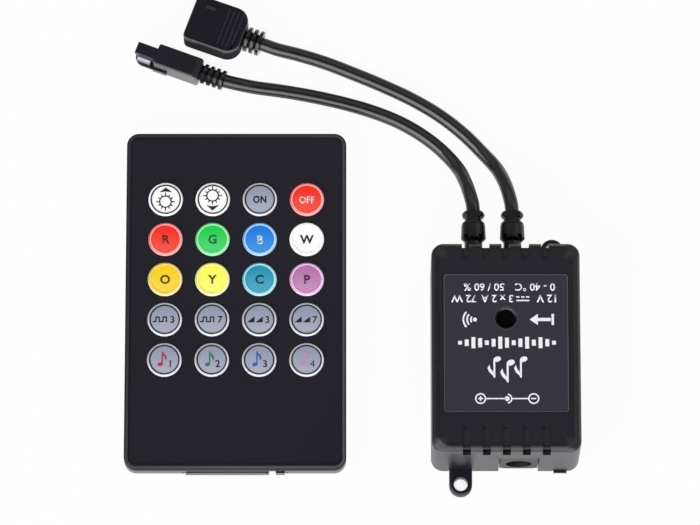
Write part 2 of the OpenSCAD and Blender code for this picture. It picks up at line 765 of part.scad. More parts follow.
// Routes of the two leads, from the relief's tip to the boot's end
output_route = [
    [2, 37.3, 8.5], [1.8, 39.3, 8.5], [1.1, 42.5, 7.6], [0.1, 46, 5.6], [-1.8, 50.2, 3], [-5.5, 54.8, 1.7],
    [-10.2, 59.6, 1.7], [-16, 64.2, 1.7], [-22.6, 68.2, 1.7], [-29.8, 71.7, 1.7], [-37, 74.8, 1.7],
    [-44, 77.6, 1.7], [-50.5, 79.6, 1.9], [-55.6, 80.6, 3], [-59.6, 81.97, 3.25]
];
sensor_route = [
    [-7.5, 37.3, 8.5], [-7.7, 39.3, 8.5], [-8.45, 42.5, 7.6], [-9.4, 45.8, 5.6], [-11, 49.8, 3],
    [-14.6, 54.4, 1.7], [-19.6, 58.6, 1.7], [-25.6, 62.2, 1.7], [-32.4, 65, 1.7], [-39.8, 67.2, 1.7],
    [-47.2, 68.9, 1.7], [-54.4, 70.2, 1.7], [-60.5, 71, 1.9], [-65.2, 71.6, 3], [-68.83, 72.43, 3.25]
];
cord_sides = 8;
cord_rings_per_span = 2;

function tangent(p, i) =
    i == 0 ? p[1] - p[0] : i == len(p) - 1 ? p[i] - p[i - 1] : (p[i + 1] - p[i - 1]) / 2;
function between(a, ta, b, tb, u) =
    (2 * pow(u, 3) - 3 * pow(u, 2) + 1) * a + (pow(u, 3) - 2 * pow(u, 2) + u) * ta
    + (3 * pow(u, 2) - 2 * pow(u, 3)) * b + (pow(u, 3) - pow(u, 2)) * tb;
// A point no lower than a cord that lies on the surface
function laid(at) = [at[0], at[1], max(at[2], cord_d / 2)];
function curve(p) = [
    for (i = [0 : len(p) - 2], k = [0 : cord_rings_per_span - 1])
        laid(between(p[i], tangent(p, i), p[i + 1], tangent(p, i + 1), k / cord_rings_per_span)),
    p[len(p) - 1]
];
function unit(v) = v / norm(v);
function ring(at, along) = let (side = unit(cross(along, [0, 0, 1])), up = unit(cross(side, along)))
    [for (k = [0 : cord_sides - 1], a = 360 * k / cord_sides)
        at + cord_d / 2 * (cos(a) * side + sin(a) * up)];

// A tube swept along a route, square to its first and last stretch
module cord(route, start_along, end_along) {
    line = curve(route);
    last = len(line) - 1;
    along = [for (i = [0 : last]) i == 0 ? start_along : i == last ? end_along : unit(tangent(line, i))];
    points = [for (i = [0 : last]) each ring(line[i], along[i])];
    sides = [
        for (i = [0 : last - 1], k = [0 : cord_sides - 1])
            let (n = (k + 1) % cord_sides, a = i * cord_sides, b = a + cord_sides)
            [a + k, b + k, b + n, a + n]
    ];
    near_end = [for (k = [0 : cord_sides - 1]) k];
    far_end = [for (k = [cord_sides - 1 : -1 : 0]) last * cord_sides + k];
    polyhedron(points, concat([near_end], sides, [far_end]));
}

module output_cord() color([0.07, 0.07, 0.08])
    cord(output_route, [0, 1, 0], [-cos(plug_turn), -sin(plug_turn), 0]);
module sensor_cord() color([0.07, 0.07, 0.08])
    cord(sensor_route, [0, 1, 0], [-cos(head_turn), -sin(head_turn), 0]);

// The four-way plug
plug_edge_r = 0.5;
bead_w = 0.45;
grip_pitch = 1.2;
grip_depth = 0.25;
grip_count = 4;
way_depth = 8;

// The plug's body: small corners in front, large ones at the back, and a rounded top edge
module plug_block() {
    translate([plug_front_r, 0, 0]) rotate([90, 0, 90])
        linear_extrude(plug_l - plug_front_r - plug_back_r) dome_rect(plug_w, plug_h, plug_edge_r);
    plug_end(plug_front_r);
    translate([plug_l, 0, 0]) scale([-1, 1, 1]) plug_end(plug_back_r);
}

module plug_end(r) {
    rotate([90, 0, 0]) linear_extrude(plug_w - 2 * r, center = true) difference() {
        square([plug_l / 2, plug_h]);
        translate([plug_edge_r, plug_h - plug_edge_r]) difference() {
            translate([-plug_edge_r - cut, 0]) square([plug_edge_r + cut, plug_edge_r + cut]);
            circle(plug_edge_r);
        }
    }
    for (sy = [-1, 1]) translate([r, sy * (plug_w / 2 - r), 0]) post(r, plug_h, plug_edge_r);
}

module plug_body() color([0.11, 0.11, 0.13]) placed(plug_at, plug_turn) difference() {
    union() {
        plug_block();
        // a raised mark that tells which way round the plug goes
        translate([0.3 * plug_l, 0.3 * plug_w, plug_h - cut]) linear_extrude(cut + grip_depth)
            square([0.17 * plug_l, 0.07 * plug_w], center = true);
    }
    // a groove under the top's bead, along both sides
    for (s = [-1, 1]) translate([plug_l / 2, s * plug_w / 2, plug_h - plug_edge_r - bead_w])
        cube([plug_l - 2 * plug_back_r, bead_w, bead_w], center = true);
    for (i = [0 : grip_count - 1]) translate([0.62 * plug_l + i * grip_pitch, 0, plug_h])
        cube([grip_depth, 0.8 * plug_w, 2 * grip_depth], center = true);
    for (i = [0 : way_count - 1])
        translate([-cut, (i - (way_count - 1) / 2) * way_pitch - way_hole / 2, plug_h / 2 - way_hole / 2])
            cube([way_depth + cut, way_hole, way_hole]);
}

contact_t = 0.2;
module plug_contacts() color([0.85, 0.8, 0.6]) placed(plug_at, plug_turn)
    for (i = [0 : way_count - 1])
        translate([way_hole / 2, (i - (way_count - 1) / 2) * way_pitch, plug_h / 2]) for (s = [-1, 1])
            translate([0, s * (way_hole / 2 - contact_t) - contact_t / 2, -way_hole / 3])
                cube([way_depth - way_hole, contact_t, 2 * way_hole / 3]);

module plug_boot() color([0.1, 0.1, 0.11]) placed(plug_at, plug_turn)
    translate([plug_l, 0, plug_h / 2]) ribbed_boot(plug_boot_d, plug_boot_l, plug_boot_ribs);

// The sensor head: a block with an open snout that holds the receiver's lens
head_z = head_h / 2;
head_edge_r = 0.4;
head_bevel_l = 1.4;
head_bevel_h = 0.8;
snout_w = 0.54 * head_w;
snout_y = -0.03 * head_w;
snout_roof_t = 1.5;
snout_drop = 0.3;
snout_back_t = 0.9;
sill_z = 1.5;
sill_t = 0.7;
sill_out = 0.45;
sill_r = 2.4;
heel_l = 3.6;
receiver_gap = 0.1;

module sensor_shell() color([0.13, 0.13, 0.15]) placed(head_at, head_turn) {
    snout_near = snout_y - snout_w / 2;
    snout_far = snout_y + snout_w / 2;
    snout_top = head_h - snout_drop;
    sill_near = -head_w / 2 - sill_out;
    difference() {
        translate([head_l / 2, 0, 0]) soft_block(head_l, head_w, head_h, head_edge_r * 1.5, head_edge_r);
        // the top slopes down towards the boot
        translate([head_l - head_bevel_l, head_w, head_h]) rotate([90, 0, 0]) linear_extrude(2 * head_w)
            polygon([
                [0, 0], [head_bevel_l + cut, -head_bevel_h * (1 + cut / head_bevel_l)],
                [head_bevel_l + cut, cut], [0, cut]
            ]);
    }
    // roof and back of the snout
    translate([-snout_l, snout_near, snout_top - snout_roof_t]) cube([snout_l + cut, snout_w, snout_roof_t]);
    translate([-snout_l, snout_far - snout_back_t, sill_z])
        cube([snout_l + cut, snout_back_t, snout_top - sill_z]);
    // sill under the lens, rounded at its outer corner, which runs back along the side as a rib
    translate([0, 0, sill_z]) linear_extrude(sill_t) {
        translate([sill_r - snout_l, sill_near]) square([snout_l - sill_r + heel_l, snout_far - sill_near]);
        translate([-snout_l, sill_near + sill_r]) square([sill_r, snout_far - sill_near - sill_r]);
        translate([sill_r - snout_l, sill_near + sill_r]) circle(sill_r);
    }
    // heel below the sill
    translate([-seat_gap, sill_near + sill_out / 3, 0]) cube([heel_l, head_w, sill_z]);
}

module ir_receiver() color([0.75, 0.77, 0.8]) placed(head_at, head_turn) {
    lens_h = head_h - snout_drop - snout_roof_t - sill_z - sill_t - 2 * receiver_gap;
    body_w = snout_w - snout_back_t - receiver_gap;
    near = snout_y - snout_w / 2;
    z = sill_z + sill_t + receiver_gap + lens_h / 2;
    translate([-0.88 * snout_l, near, z - lens_h / 2]) cube([0.84 * snout_l, body_w, lens_h]);
    translate([-0.82 * snout_l, near, z]) rotate([0, 90, 0]) cylinder(h = 0.66 * snout_l, d = lens_h);
}

module sensor_boot() color([0.1, 0.1, 0.11]) placed(head_at, head_turn)
    translate([head_l, 0, head_z]) ribbed_boot(head_boot_d, head_boot_l, head_boot_ribs);

// The remote's shells
module inside_walls(gap) {
    in = 2 * (remote_wall + gap);
    round_rect(remote_w - in, remote_l - in, remote_r - remote_wall);
}

module led_hole() {
    translate([0, led_y - cut, led_z]) rotate([-90, 0, 0])
        cylinder(h = remote_wall + 2 * cut, d = led_d + 2 * seat_gap);
}

module remote_back_shell() color([0.16, 0.15, 0.18]) on_remote() {
    difference() {
        translate([0, 0, parting_z]) mirror([0, 0, 1])
            soft_block(remote_w, remote_l, parting_z, remote_r, remote_foot_r);
        difference() {
            translate([0, 0, remote_floor_t]) linear_extrude(parting_z) inside_walls(0);
            translate([-bay_w / 2 - rail_t, front_y - cut, 0])
                cube([bay_w + 2 * rail_t, bay_l + tray_back_t + cut, remote_t]);
        }
        translate([-bay_w / 2, front_y - cut, -cut]) cube([bay_w, bay_l + cut, remote_t + 2 * cut]);
        // grooves in the rails
        translate([-bay_w / 2 - tongue_out, front_y - cut, tongue_z - coin_gap])
            cube([bay_w + 2 * tongue_out, bay_l + cut, tongue_h + 2 * coin_gap]);
        // notch for the latch's nib
        translate([bay_w / 2 - cut, nib_y - coin_gap, latch_z - coin_gap])
            cube([notch_d + cut, nib_l + 2 * coin_gap, latch_h + 2 * coin_gap]);
        led_hole();
    }
    at_remote_posts() {
        translate([0, 0, remote_floor_t / 2])
            cylinder(h = remote_board_z - remote_floor_t / 2, d = remote_post_d);
        translate([0, 0, remote_floor_t]) cylinder(h = remote_board_rise + remote_board_t, d = remote_pin_d);
    }
}

module key_holes(r) {
    for (c = [0 : key_cols - 1], row = [0 : key_rows - 1]) translate(key_at(c, row)) circle(r);
}

module remote_front_shell() color([0.14, 0.13, 0.16]) on_remote() {
    difference() {
        translate([0, 0, parting_z])
            soft_block(remote_w, remote_l, remote_t - parting_z, remote_r, remote_edge_r);
        translate([0, 0, face_z]) linear_extrude(remote_t)
            round_rect(remote_w - 2 * rim_w, remote_l - 2 * rim_w, remote_r - rim_w);
        translate([0, 0, parting_z - cut]) linear_extrude(plate_z - parting_z + cut) inside_walls(0);
        translate([0, 0, plate_z - cut]) linear_extrude(remote_t) key_holes(key_hole_r);
        translate([-bay_w / 2, front_y - cut, parting_z - cut])
            cube([bay_w, remote_wall + 2 * cut, bay_top - parting_z + cut]);
        led_hole();
    }
    // lip inside the back shell's walls, open at the drawer and at the emitter
    difference() {
        translate([0, 0, parting_z - lip_h]) linear_extrude(lip_h) inside_walls(lip_gap);
        translate([0, 0, parting_z - lip_h - cut])
            linear_extrude(lip_h + 2 * cut) inside_walls(lip_gap + lip_t);
        lip_openings();
    }
    difference() {
        translate([0, 0, parting_z]) linear_extrude(lip_root_t) inside_walls(-seat_gap);
        translate([0, 0, parting_z - cut])
            linear_extrude(lip_root_t + 2 * cut) inside_walls(lip_gap + lip_t);
        lip_openings();
    }
    at_remote_posts() translate([0, 0, remote_board_top])
        cylinder(h = plate_z + plate_t / 2 - remote_board_top, d = remote_post_d);
}

module lip_openings() {
    w = bay_w + 2 * rail_t + 2 * lip_gap;
    translate([-w / 2, front_y, 0]) cube([w, remote_l / 2, remote_t]);
    translate([-led_flange_d / 2 - fit_gap, 0, 0])
        cube([led_flange_d + 2 * fit_gap, remote_l / 2, remote_t]);
}

module remote_face() color([0.13, 0.12, 0.15]) on_remote()
    translate([0, 0, face_z]) linear_extrude(face_t) difference() {
        in = 2 * (rim_w + seat_gap);
        round_rect(remote_w - in, remote_l - in, remote_r - rim_w);
        key_holes(key_hole_r);
    }

module remote_board() color([0.1, 0.4, 0.2]) on_remote()
    translate([0, 0, remote_board_z]) linear_extrude(remote_board_t) difference() {
        w = remote_w - 2 * remote_wall - 2 * board_far_gap;
        translate([-w / 2, board_near_y]) square([w, board_far_y - board_near_y]);
        at_remote_posts() circle(d = remote_pin_d + 2 * seat_gap);
        translate([-led_flange_d / 2 - fit_gap, board_far_y - led_body_l])
            square([led_flange_d + 2 * fit_gap, led_body_l + cut]);
    }

dome_d = 7;
module snap_domes() color([0.8, 0.81, 0.83]) on_remote()
    for (c = [0 : key_cols - 1], r = [0 : key_rows - 1]) translate(concat(key_at(c, r), [remote_board_top]))
        cylinder(h = dome_h, d1 = dome_d, d2 = dome_d / 3);

remote_chip_w = 3.9;
remote_chip_l = 9.9;
remote_chip_t = 1.5;
remote_chip_legs = 10;
remote_chip_at = key_at((key_cols - 1) / 2, (key_rows - 1) / 2);
module remote_chip() color([0.1, 0.1, 0.11]) on_remote()
    chip(remote_chip_at, remote_board_z, remote_chip_w, remote_chip_l, remote_chip_t, remote_chip_legs);

resonator_w = 6.5;
resonator_l = 2.6;
resonator_t = 1.8;
module resonator() color([0.8, 0.6, 0.15]) on_remote()
    translate(concat(key_at(0.5, 2.5), [remote_board_z - resonator_t])) linear_extrude(resonator_t)
        round_rect(resonator_w, resonator_l, resonator_l / 3);

// The emitter lies flat in the board's notch with its lens in the shells' far wall
module ir_emitter() color([0.35, 0.38, 0.55]) on_remote()
    translate([0, led_y - seat_gap, led_z]) {
        turned([
            [-led_flange_t, 0.96 * led_flange_d], [-led_flange_t / 2, led_flange_d],
            [0, led_flange_d], [0, led_d],
            [remote_wall + led_tip_out - led_d / 5, led_d],
            [remote_wall + led_tip_out - led_d / 12, 0.82 * led_d],
            [remote_wall + led_tip_out, 0.45 * led_d]
        ]);
        for (s = [-1, 1]) translate([s * led_d / 4, -led_flange_t, 0]) rotate([90, 0, 0])
            cylinder(h = led_body_l - board_far_gap - led_flange_t, d = led_d / 6);
    }

// Battery drawer, its finger latch, the coin cell and the contacts above it
module battery_tray() color([0.15, 0.14, 0.17]) on_remote() {
    slit_x = tray_w / 2 - latch_w - latch_gap;
    root_w = latch_w + 2 * latch_pivot_gap;
    difference() {
        union() {
            translate([-tray_w / 2, front_y, tray_lift]) cube([tray_w, tray_l, tray_h - tray_lift]);
            translate([-tray_w / 2, front_y, tray_lift]) cube([tray_w, tray_end_t, tray_end_h - tray_lift]);
            translate([-tray_w / 2, front_y - lip_out, tray_lift])
                cube([tray_w, lip_out + tray_end_t, scoop_z - tray_lift]);
            // tongues that run in the rails
            translate([-tray_w / 2 - tongue_out + tray_gap, front_y + 2 * tray_end_t, tongue_z])
                cube([tray_w / 2, tray_l - 2 * tray_end_t, tongue_h]);
            translate([tongue_out - tray_gap, latch_root_y + latch_w, tongue_z])
                cube([tray_w / 2, tray_l - latch_l - latch_w, tongue_h]);
        }
        translate([0, coin_y, coin_z]) cylinder(h = remote_t, d = coin_d + 2 * coin_gap);
        // finger scoop in the end wall
        translate([-tray_w / 2 + scoop_margin, front_y - lip_out - cut, scoop_z])
            cube([slit_x + tray_w / 2 - 2 * scoop_margin, scoop_depth + lip_out + cut, scoop_h]);
        // room for the latch and for pressing it
        translate([slit_x, front_y - lip_out - cut, -cut])
            cube([tray_w, latch_l + lip_out + cut, remote_t]);
        translate([latch_x, latch_root_y, -cut]) cylinder(h = remote_t, d = root_w);
        // opening for the side contact
        translate([coin_d / 8, front_y + tray_l - tray_back_t - 2 * cut, coin_z])
            cube([coin_d / 4, tray_back_t + 3 * cut, remote_t]);
    }
}

module tray_latch() color([0.15, 0.14, 0.17]) on_remote()
    translate([0, 0, latch_z]) linear_extrude(latch_h) {
        translate([latch_x, latch_root_y]) circle(d = latch_w);
        translate([latch_x - latch_w / 2, front_y - lip_out]) square([latch_w, latch_l + lip_out]);
        translate([latch_x - latch_w, front_y - lip_out]) square([latch_w, tray_end_t]);
        translate([tray_w / 2, nib_y])
            polygon([[-latch_w / 2, 0], [nib_out, 0], [0, nib_l], [-latch_w / 2, nib_l]]);
    }

module coin_cell() color([0.8, 0.81, 0.83]) on_remote()
    translate([0, coin_y, coin_z]) rotate_extrude() polygon([
        [0, 0], [0.47 * coin_d, 0], [0.5 * coin_d, 0.12 * coin_t], [0.5 * coin_d, 0.9 * coin_t],
        [0.485 * coin_d, 0.94 * coin_t], [0.44 * coin_d, 0.94 * coin_t], [0.44 * coin_d, coin_t], [0, coin_t]
    ]);

contact_gap = 0.02;
module battery_contacts() color([0.85, 0.8, 0.6]) on_remote() {
    leaf_w = coin_d / 6;
    leaf_z = coin_top + contact_gap;
    leaf_t = remote_board_z - leaf_z;
    leaf_end_y = board_near_y + coin_d / 8;
    leaf_y = coin_y + coin_d / 4;
    rim_y = coin_y + coin_d / 2 + coin_gap / 2;
    // leaf that presses on the cell's face
    translate([-0.3 * coin_d, leaf_y, leaf_z]) cube([leaf_w, leaf_end_y - leaf_y, leaf_t]);
    // tab that touches the cell's rim
    translate([coin_d / 4 - leaf_w / 2, rim_y, 0]) {
        translate([0, 0, remote_board_z - coin_t / 2]) cube([leaf_w, spring_t / 2, coin_t / 2]);
        translate([0, 0, leaf_z]) cube([leaf_w, leaf_end_y - rim_y, leaf_t]);
    }
}

// A key: a round cap with a ring round its disc, a flange that keeps it in, and a plunger
ring_w_share = 0.18;
disc_drop = 0.08;
key_round = 0.3;
plunger_d = 2.6;
plunger_gap = 0.02;
module key(c, r) on_remote() translate(key_at(c, r)) {
    ring_r = key_d / 2 * (1 - ring_w_share);
    translate([0, 0, remote_board_top + dome_h + plunger_gap])
        cylinder(h = key_flange_z - remote_board_top - dome_h, d = plunger_d);
    translate([0, 0, key_flange_z]) cylinder(h = key_flange_t, r = key_d / 2 + key_flange_out);
    rotate_extrude() difference() {
        translate([0, key_flange_z]) square([key_d / 2, key_top - key_flange_z]);
        translate([key_d / 2 - key_round, key_top - key_round]) difference() {
            square(key_round + cut);
            circle(key_round);
        }
        translate([0, key_top - disc_drop]) square([ring_r, disc_drop + cut]);
        translate([ring_r, key_top - disc_drop]) circle(disc_drop);
    }
}

top_cover();
base_plate();
label();
main_board();
dc_jack();
jack_pin();
jack_spring();
microphone();
microphone_boot();
controller_chip();
amplifier_chip();
output_transistors();
voltage_regulator();
filter_capacitor();
chip_components();
output_relief();
sensor_relief();
output_wires();
sensor_wires();
output_cord();
plug_body();
plug_contacts();
plug_boot();
sensor_cord();
sensor_shell();
ir_receiver();
sensor_boot();
remote_back_shell();
remote_front_shell();
remote_face();
remote_board();
snap_domes();
remote_chip();
resonator();
ir_emitter();
battery_contacts();
battery_tray();
tray_latch();
coin_cell();
for (i = [0 : len(KEY_NAMES) - 1])
    color(KEY_COLORS[i]) key(i % key_cols, floor(i / key_cols));
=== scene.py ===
"""LED strip controller: a control box with two leads, and the card remote that goes with it."""

import math

import bmesh
import bpy
from mathutils import Matrix, Vector


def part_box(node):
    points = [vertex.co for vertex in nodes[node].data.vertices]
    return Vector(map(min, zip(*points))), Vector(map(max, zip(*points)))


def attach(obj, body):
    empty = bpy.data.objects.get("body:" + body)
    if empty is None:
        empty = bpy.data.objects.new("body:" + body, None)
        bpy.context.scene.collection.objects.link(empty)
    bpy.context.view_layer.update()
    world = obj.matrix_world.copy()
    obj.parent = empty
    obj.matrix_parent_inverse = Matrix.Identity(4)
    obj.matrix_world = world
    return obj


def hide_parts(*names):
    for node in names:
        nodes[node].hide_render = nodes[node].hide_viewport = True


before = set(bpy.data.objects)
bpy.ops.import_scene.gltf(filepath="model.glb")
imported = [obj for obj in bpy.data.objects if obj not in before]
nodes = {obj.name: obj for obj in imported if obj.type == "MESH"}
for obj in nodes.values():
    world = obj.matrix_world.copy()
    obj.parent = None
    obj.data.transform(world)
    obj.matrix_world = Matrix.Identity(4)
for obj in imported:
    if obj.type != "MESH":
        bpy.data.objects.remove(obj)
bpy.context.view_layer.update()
MM = 0.001

# Camera. The set was photographed from almost straight above, a little from its near side,
# with a long lens. The view keeps its colours as they are written.
VIEW_TARGET = Vector((-37.69, 26.68, 0)) * MM
VIEW_DISTANCE = 1401 * MM
VIEW_TILT = math.radians(15.5)
VIEW_LENS = 293
camera = bpy.data.objects.new("camera", bpy.data.cameras.new("camera"))
camera.data.lens = VIEW_LENS
camera.data.sensor_width = 36
camera.data.clip_end = 20
camera.location = VIEW_TARGET + VIEW_DISTANCE * Vector((0, -math.sin(VIEW_TILT), math.cos(VIEW_TILT)))
camera.rotation_euler = (VIEW_TILT, 0, 0)
bpy.context.scene.collection.objects.link(camera)
bpy.context.scene.camera = camera
bpy.context.scene.view_settings.view_transform = "Standard"


# Studio. The set lies on a pale sheet inside a light tent, with a broad softbox on its near and
# left side. The sheet shows as white to the camera and in reflections, but it stays dark where
# a piece covers it closely.
class Signal:
    """A shader socket that Python sums, products and comparisons turn into Math nodes."""

    def __init__(self, tree, socket=None):
        self.tree = tree
        self.socket = socket

    def node(self, kind, settings=None, out=0, **plugs):
        """Adds a node. A plug is named like its socket, or i and its number where names repeat."""
        made = self.tree.nodes.new(kind)
        for key, value in (settings or {}).items():
            setattr(made, key, value)
        for key, value in plugs.items():
            plug = made.inputs[int(key[1:])] if key[1:].isdigit() else made.inputs[key.replace("_", " ")]
            if isinstance(value, Signal):
                self.tree.links.new(value.socket, plug)
            else:
                plug.default_value = value
        return Signal(self.tree, made.outputs[out])

    def math(self, operation, other=0.0, clamp=False):
        """This signal and another value, taken through one Math node."""
        return self.node("ShaderNodeMath", {"operation": operation, "use_clamp": clamp}, i0=self, i1=other)

    def __add__(self, other):
        return self.math("ADD", other)

    def __mul__(self, other):
        return self.math("MULTIPLY", other)

    def __sub__(self, other):
        return self.math("SUBTRACT", other)

    def __rsub__(self, other):
        return self.node("ShaderNodeMath", {"operation": "SUBTRACT"}, i0=other, i1=self)

    __radd__ = __add__
    __rmul__ = __mul__

    def above(self, edge, soft):
        """0 below the edge and 1 above it, over a soft step."""
        return ((self - edge) * (1 / soft)).math("ADD", 0.5, clamp=True)

    def mix(self, low, high):
        """The colour low where this signal is 0, and high where it is 1."""
        settings = {"data_type": "RGBA", "clamp_factor": True}
        return self.node("ShaderNodeMix", settings, out=2, i0=self, i6=low, i7=high)

    def axis(self, name):
        """One coordinate of a place or a direction."""
        return self.node("ShaderNodeSeparateXYZ", out="XYZ".index(name), Vector=self)


def rgb(red, green, blue):
    """A colour from its 0 to 255 values on a screen, as the shader takes it."""
    shares = (red / 255, green / 255, blue / 255)
    return (*(v / 12.92 if v < 0.04045 else ((v + 0.055) / 1.055) ** 2.4 for v in shares), 1)


def new_material(name):
    """A material with an empty Principled shader, and the signal that starts its nodes."""
    material = bpy.data.materials.new(name)
    material.use_nodes = True
    start = Signal(material.node_tree)
    place = start.node("ShaderNodeTexCoord", out=3)
    return material, material.node_tree.nodes["Principled BSDF"], place


def drive(shader, socket, value):
    """Links a signal to a shader's socket, or sets it to a plain value."""
    if isinstance(value, Signal):
        value.tree.links.new(value.socket, shader.inputs[socket])
    else:
        shader.inputs[socket].default_value = value


def link_piece(name, mesh, material):
    """Makes an object of a new mesh or curve, with its finish, and puts it in the scene."""
    piece = bpy.data.objects.new(name, mesh)
    bpy.context.scene.collection.objects.link(piece)
    piece.data.materials.append(material)
    return piece


def inset(place, low, high, corner):
    """How far a point lies inside the outline of a block with rounded corners, seen from above."""
    middle, reach = (low + high) / 2, (high - low) / 2
    across = (place.axis("X") - middle.x).math("ABSOLUTE") - (reach.x - corner)
    along = (place.axis("Y") - middle.y).math("ABSOLUTE") - (reach.y - corner)
    past_x, past_y = across.math("MAXIMUM"), along.math("MAXIMUM")
    past = (past_x * past_x + past_y * past_y).math("SQRT")
    return corner - (past + across.math("MAXIMUM", along).math("MINIMUM"))


SHEET_SIZE = 3
SHEET_GLOW = 0.945
COVER_HEIGHT = 8 * MM
sheet_paint, sheet_shader, sheet_start = new_material("paper_sheet")
drive(sheet_shader, "Base Color", rgb(244, 244, 245))
drive(sheet_shader, "Roughness", 0.9)
seen = sheet_start.node("ShaderNodeLightPath", out=0)
mirrored = sheet_start.node("ShaderNodeLightPath", out=3)
glow = sheet_start.node("ShaderNodeEmission", Color=(1, 1, 1, 1), Strength=1.0)
open_sky = sheet_start.node("ShaderNodeAmbientOcclusion", {"samples": 8}, out=1, Distance=COVER_HEIGHT)
shown = seen.math("MAXIMUM", mirrored) * open_sky.above(0.14, 0.16) * SHEET_GLOW
paper = Signal(sheet_paint.node_tree, sheet_shader.outputs["BSDF"])
both = paper.node("ShaderNodeMixShader", i0=shown, i1=paper, i2=glow)
sheet_output = sheet_paint.node_tree.nodes["Material Output"]
sheet_paint.node_tree.links.new(both.socket, sheet_output.inputs["Surface"])
sheet_bm = bmesh.new()
bmesh.ops.create_grid(sheet_bm, x_segments=1, y_segments=1, size=SHEET_SIZE / 2)
sheet_mesh = bpy.data.meshes.new("paper_sheet")
sheet_bm.to_mesh(sheet_mesh)
sheet_bm.free()
link_piece("paper_sheet", sheet_mesh, sheet_paint)


def grey(level):
    """An even light of the given level."""
    return (level, level, level, 1)


TENT_TOP_NEAR = grey(0.03)
TENT_TOP_FAR = grey(0.58)
TENT_SIDE = grey(0.13)
SOFTBOX = grey(3.15)
SOFTBOX_SLANT = 0.5
world = bpy.data.worlds.new("light_tent")
world.use_nodes = True
bpy.context.scene.world = world
tent = Signal(world.node_tree)
toward = tent.node("ShaderNodeTexCoord", out=0)
tent_top = toward.axis("Y").above(0.27, 0.45).mix(TENT_TOP_NEAR, TENT_TOP_FAR)
tent_light = toward.axis("Z").above(0.45, 0.7).mix(TENT_SIDE, tent_top)
box_left = (toward.axis("X") * -SOFTBOX_SLANT).math("MAXIMUM", 0.0)
box_high = (box_left - toward.axis("Y")).above(0.56, 0.16)
box_wide = 1.0 - toward.axis("X").above(0.6, 0.3)
tent_light = (box_high * box_wide).mix(tent_light, SOFTBOX)
white_seen = tent.node("ShaderNodeLightPath", out=0).mix(tent_light, grey(1))
world.node_tree.links.new(white_seen.socket, world.node_tree.nodes["Background"].inputs["Color"])

for lamp_name, lamp_place, lamp_size, lamp_power in (
    ("right_panel", (1.05, 0.1, 0.85), 1.2, 2.6),
    ("left_panel", (-0.8, -0.35, 1.07), 0.35, 2.0),
):
    lamp = bpy.data.objects.new(lamp_name, bpy.data.lights.new(lamp_name, "AREA"))
    lamp.data.size = lamp_size
    lamp.data.energy = lamp_power
    lamp.location = lamp_place
    lamp.rotation_euler = (Vector(lamp_place) - VIEW_TARGET).to_track_quat("Z", "Y").to_euler()
    bpy.context.scene.collection.objects.link(lamp)


# Leads. Two round vinyl cables, soft and satin, about 80 mm long each. They leave the box level,
# drop to the table and lie in one bend up to the plug and the sensor head.
def vinyl(name, shade, roughness, ior=1.5, gloss=None):
    """Soft vinyl: a satin skin, slightly cloudy, with a fine unevenness from its die or mould."""
    material, shader, place = new_material(name)
    cloud = place.node("ShaderNodeTexNoise", Vector=place, Scale=260.0, Detail=3.0)
    fine = place.node("ShaderNodeTexNoise", Vector=place, Scale=5200.0, Detail=2.0)
    drive(shader, "Base Color", cloud.mix(rgb(*(0.82 * c for c in shade)), rgb(*(1.2 * c for c in shade))))
    drive(shader, "Roughness", cloud * 0.12 + (roughness - 0.06))
    drive(shader, "Normal", place.node("ShaderNodeBump", Strength=0.03, Distance=0.05 * MM, Height=fine))
    drive(shader, "IOR", ior)
    if gloss:
        drive(shader, "Coat Weight", gloss(place))
        drive(shader, "Coat Roughness", 0.22)
    return material


CORD_DIAMETER = 3.4 * MM
cord_vinyl = vinyl("cord_vinyl", (14, 13, 17), 0.27, 1.7)
OUTPUT_ROUTE = [
    (2, 37.3, 8.5), (1.8, 39.3, 8.5), (1.1, 42.5, 7.6), (0.1, 46, 5.6), (-1.8, 50.2, 3), (-5.5, 54.8, 1.7),
    (-10.2, 59.6, 1.7), (-16, 64.2, 1.7), (-22.6, 68.2, 1.7), (-29.8, 71.7, 1.7), (-37, 74.8, 1.7),
    (-44, 77.6, 1.7), (-50.5, 79.6, 1.9), (-55.6, 80.6, 3), (-59.6, 81.97, 3.25),
]
SENSOR_ROUTE = [
    (-7.5, 37.3, 8.5), (-7.7, 39.3, 8.5), (-8.45, 42.5, 7.6), (-9.4, 45.8, 5.6), (-11, 49.8, 3),
    (-14.6, 54.4, 1.7), (-19.6, 58.6, 1.7), (-25.6, 62.2, 1.7), (-32.4, 65, 1.7), (-39.8, 67.2, 1.7),
    (-47.2, 68.9, 1.7), (-54.4, 70.2, 1.7), (-60.5, 71, 1.9), (-65.2, 71.6, 3), (-68.83, 72.43, 3.25),
]


def lay_lead(name, route):
    """One lead as a smooth curve through its route, never lower than the table lets it."""
    points = [Vector(p) * MM for p in route]
    curve = bpy.data.curves.new(name, "CURVE")
    curve.dimensions = "3D"
    curve.bevel_depth = CORD_DIAMETER / 2
    curve.bevel_resolution = 7
    curve.resolution_u = 10
    curve.use_fill_caps = True
    spline = curve.splines.new("BEZIER")
    spline.bezier_points.add(len(points) - 1)
    last = len(points) - 1
    for i, (knot, point) in enumerate(zip(spline.bezier_points, points)):
        along = (points[min(i + 1, last)] - points[max(i - 1, 0)]) / (1 if i in (0, last) else 2)
        knot.co = point
        knot.handle_left = point - along / 3
        knot.handle_right = point + along / 3
        for handle in (knot.handle_left, knot.handle_right):
            handle.z = max(handle.z, CORD_DIAMETER / 2)
    lead = link_piece(name, curve, cord_vinyl)
    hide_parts(name.replace("lead", "cord"))
    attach(lead, "control_box")


lay_lead(
    "output_lead", OUTPUT_ROUTE,
)
lay_lead(
    "sensor_lead", SENSOR_ROUTE,
)


# Strain reliefs and boots. Black vinyl moulded round the cables: a pocketed barrel and a lobed
# collar at the box, and ribbed boots at the plug and the sensor.
WELD_REACH = 0.002 * MM
FLAT_ANGLE = math.radians(0.6)
SHARP_ANGLE = math.radians(32)


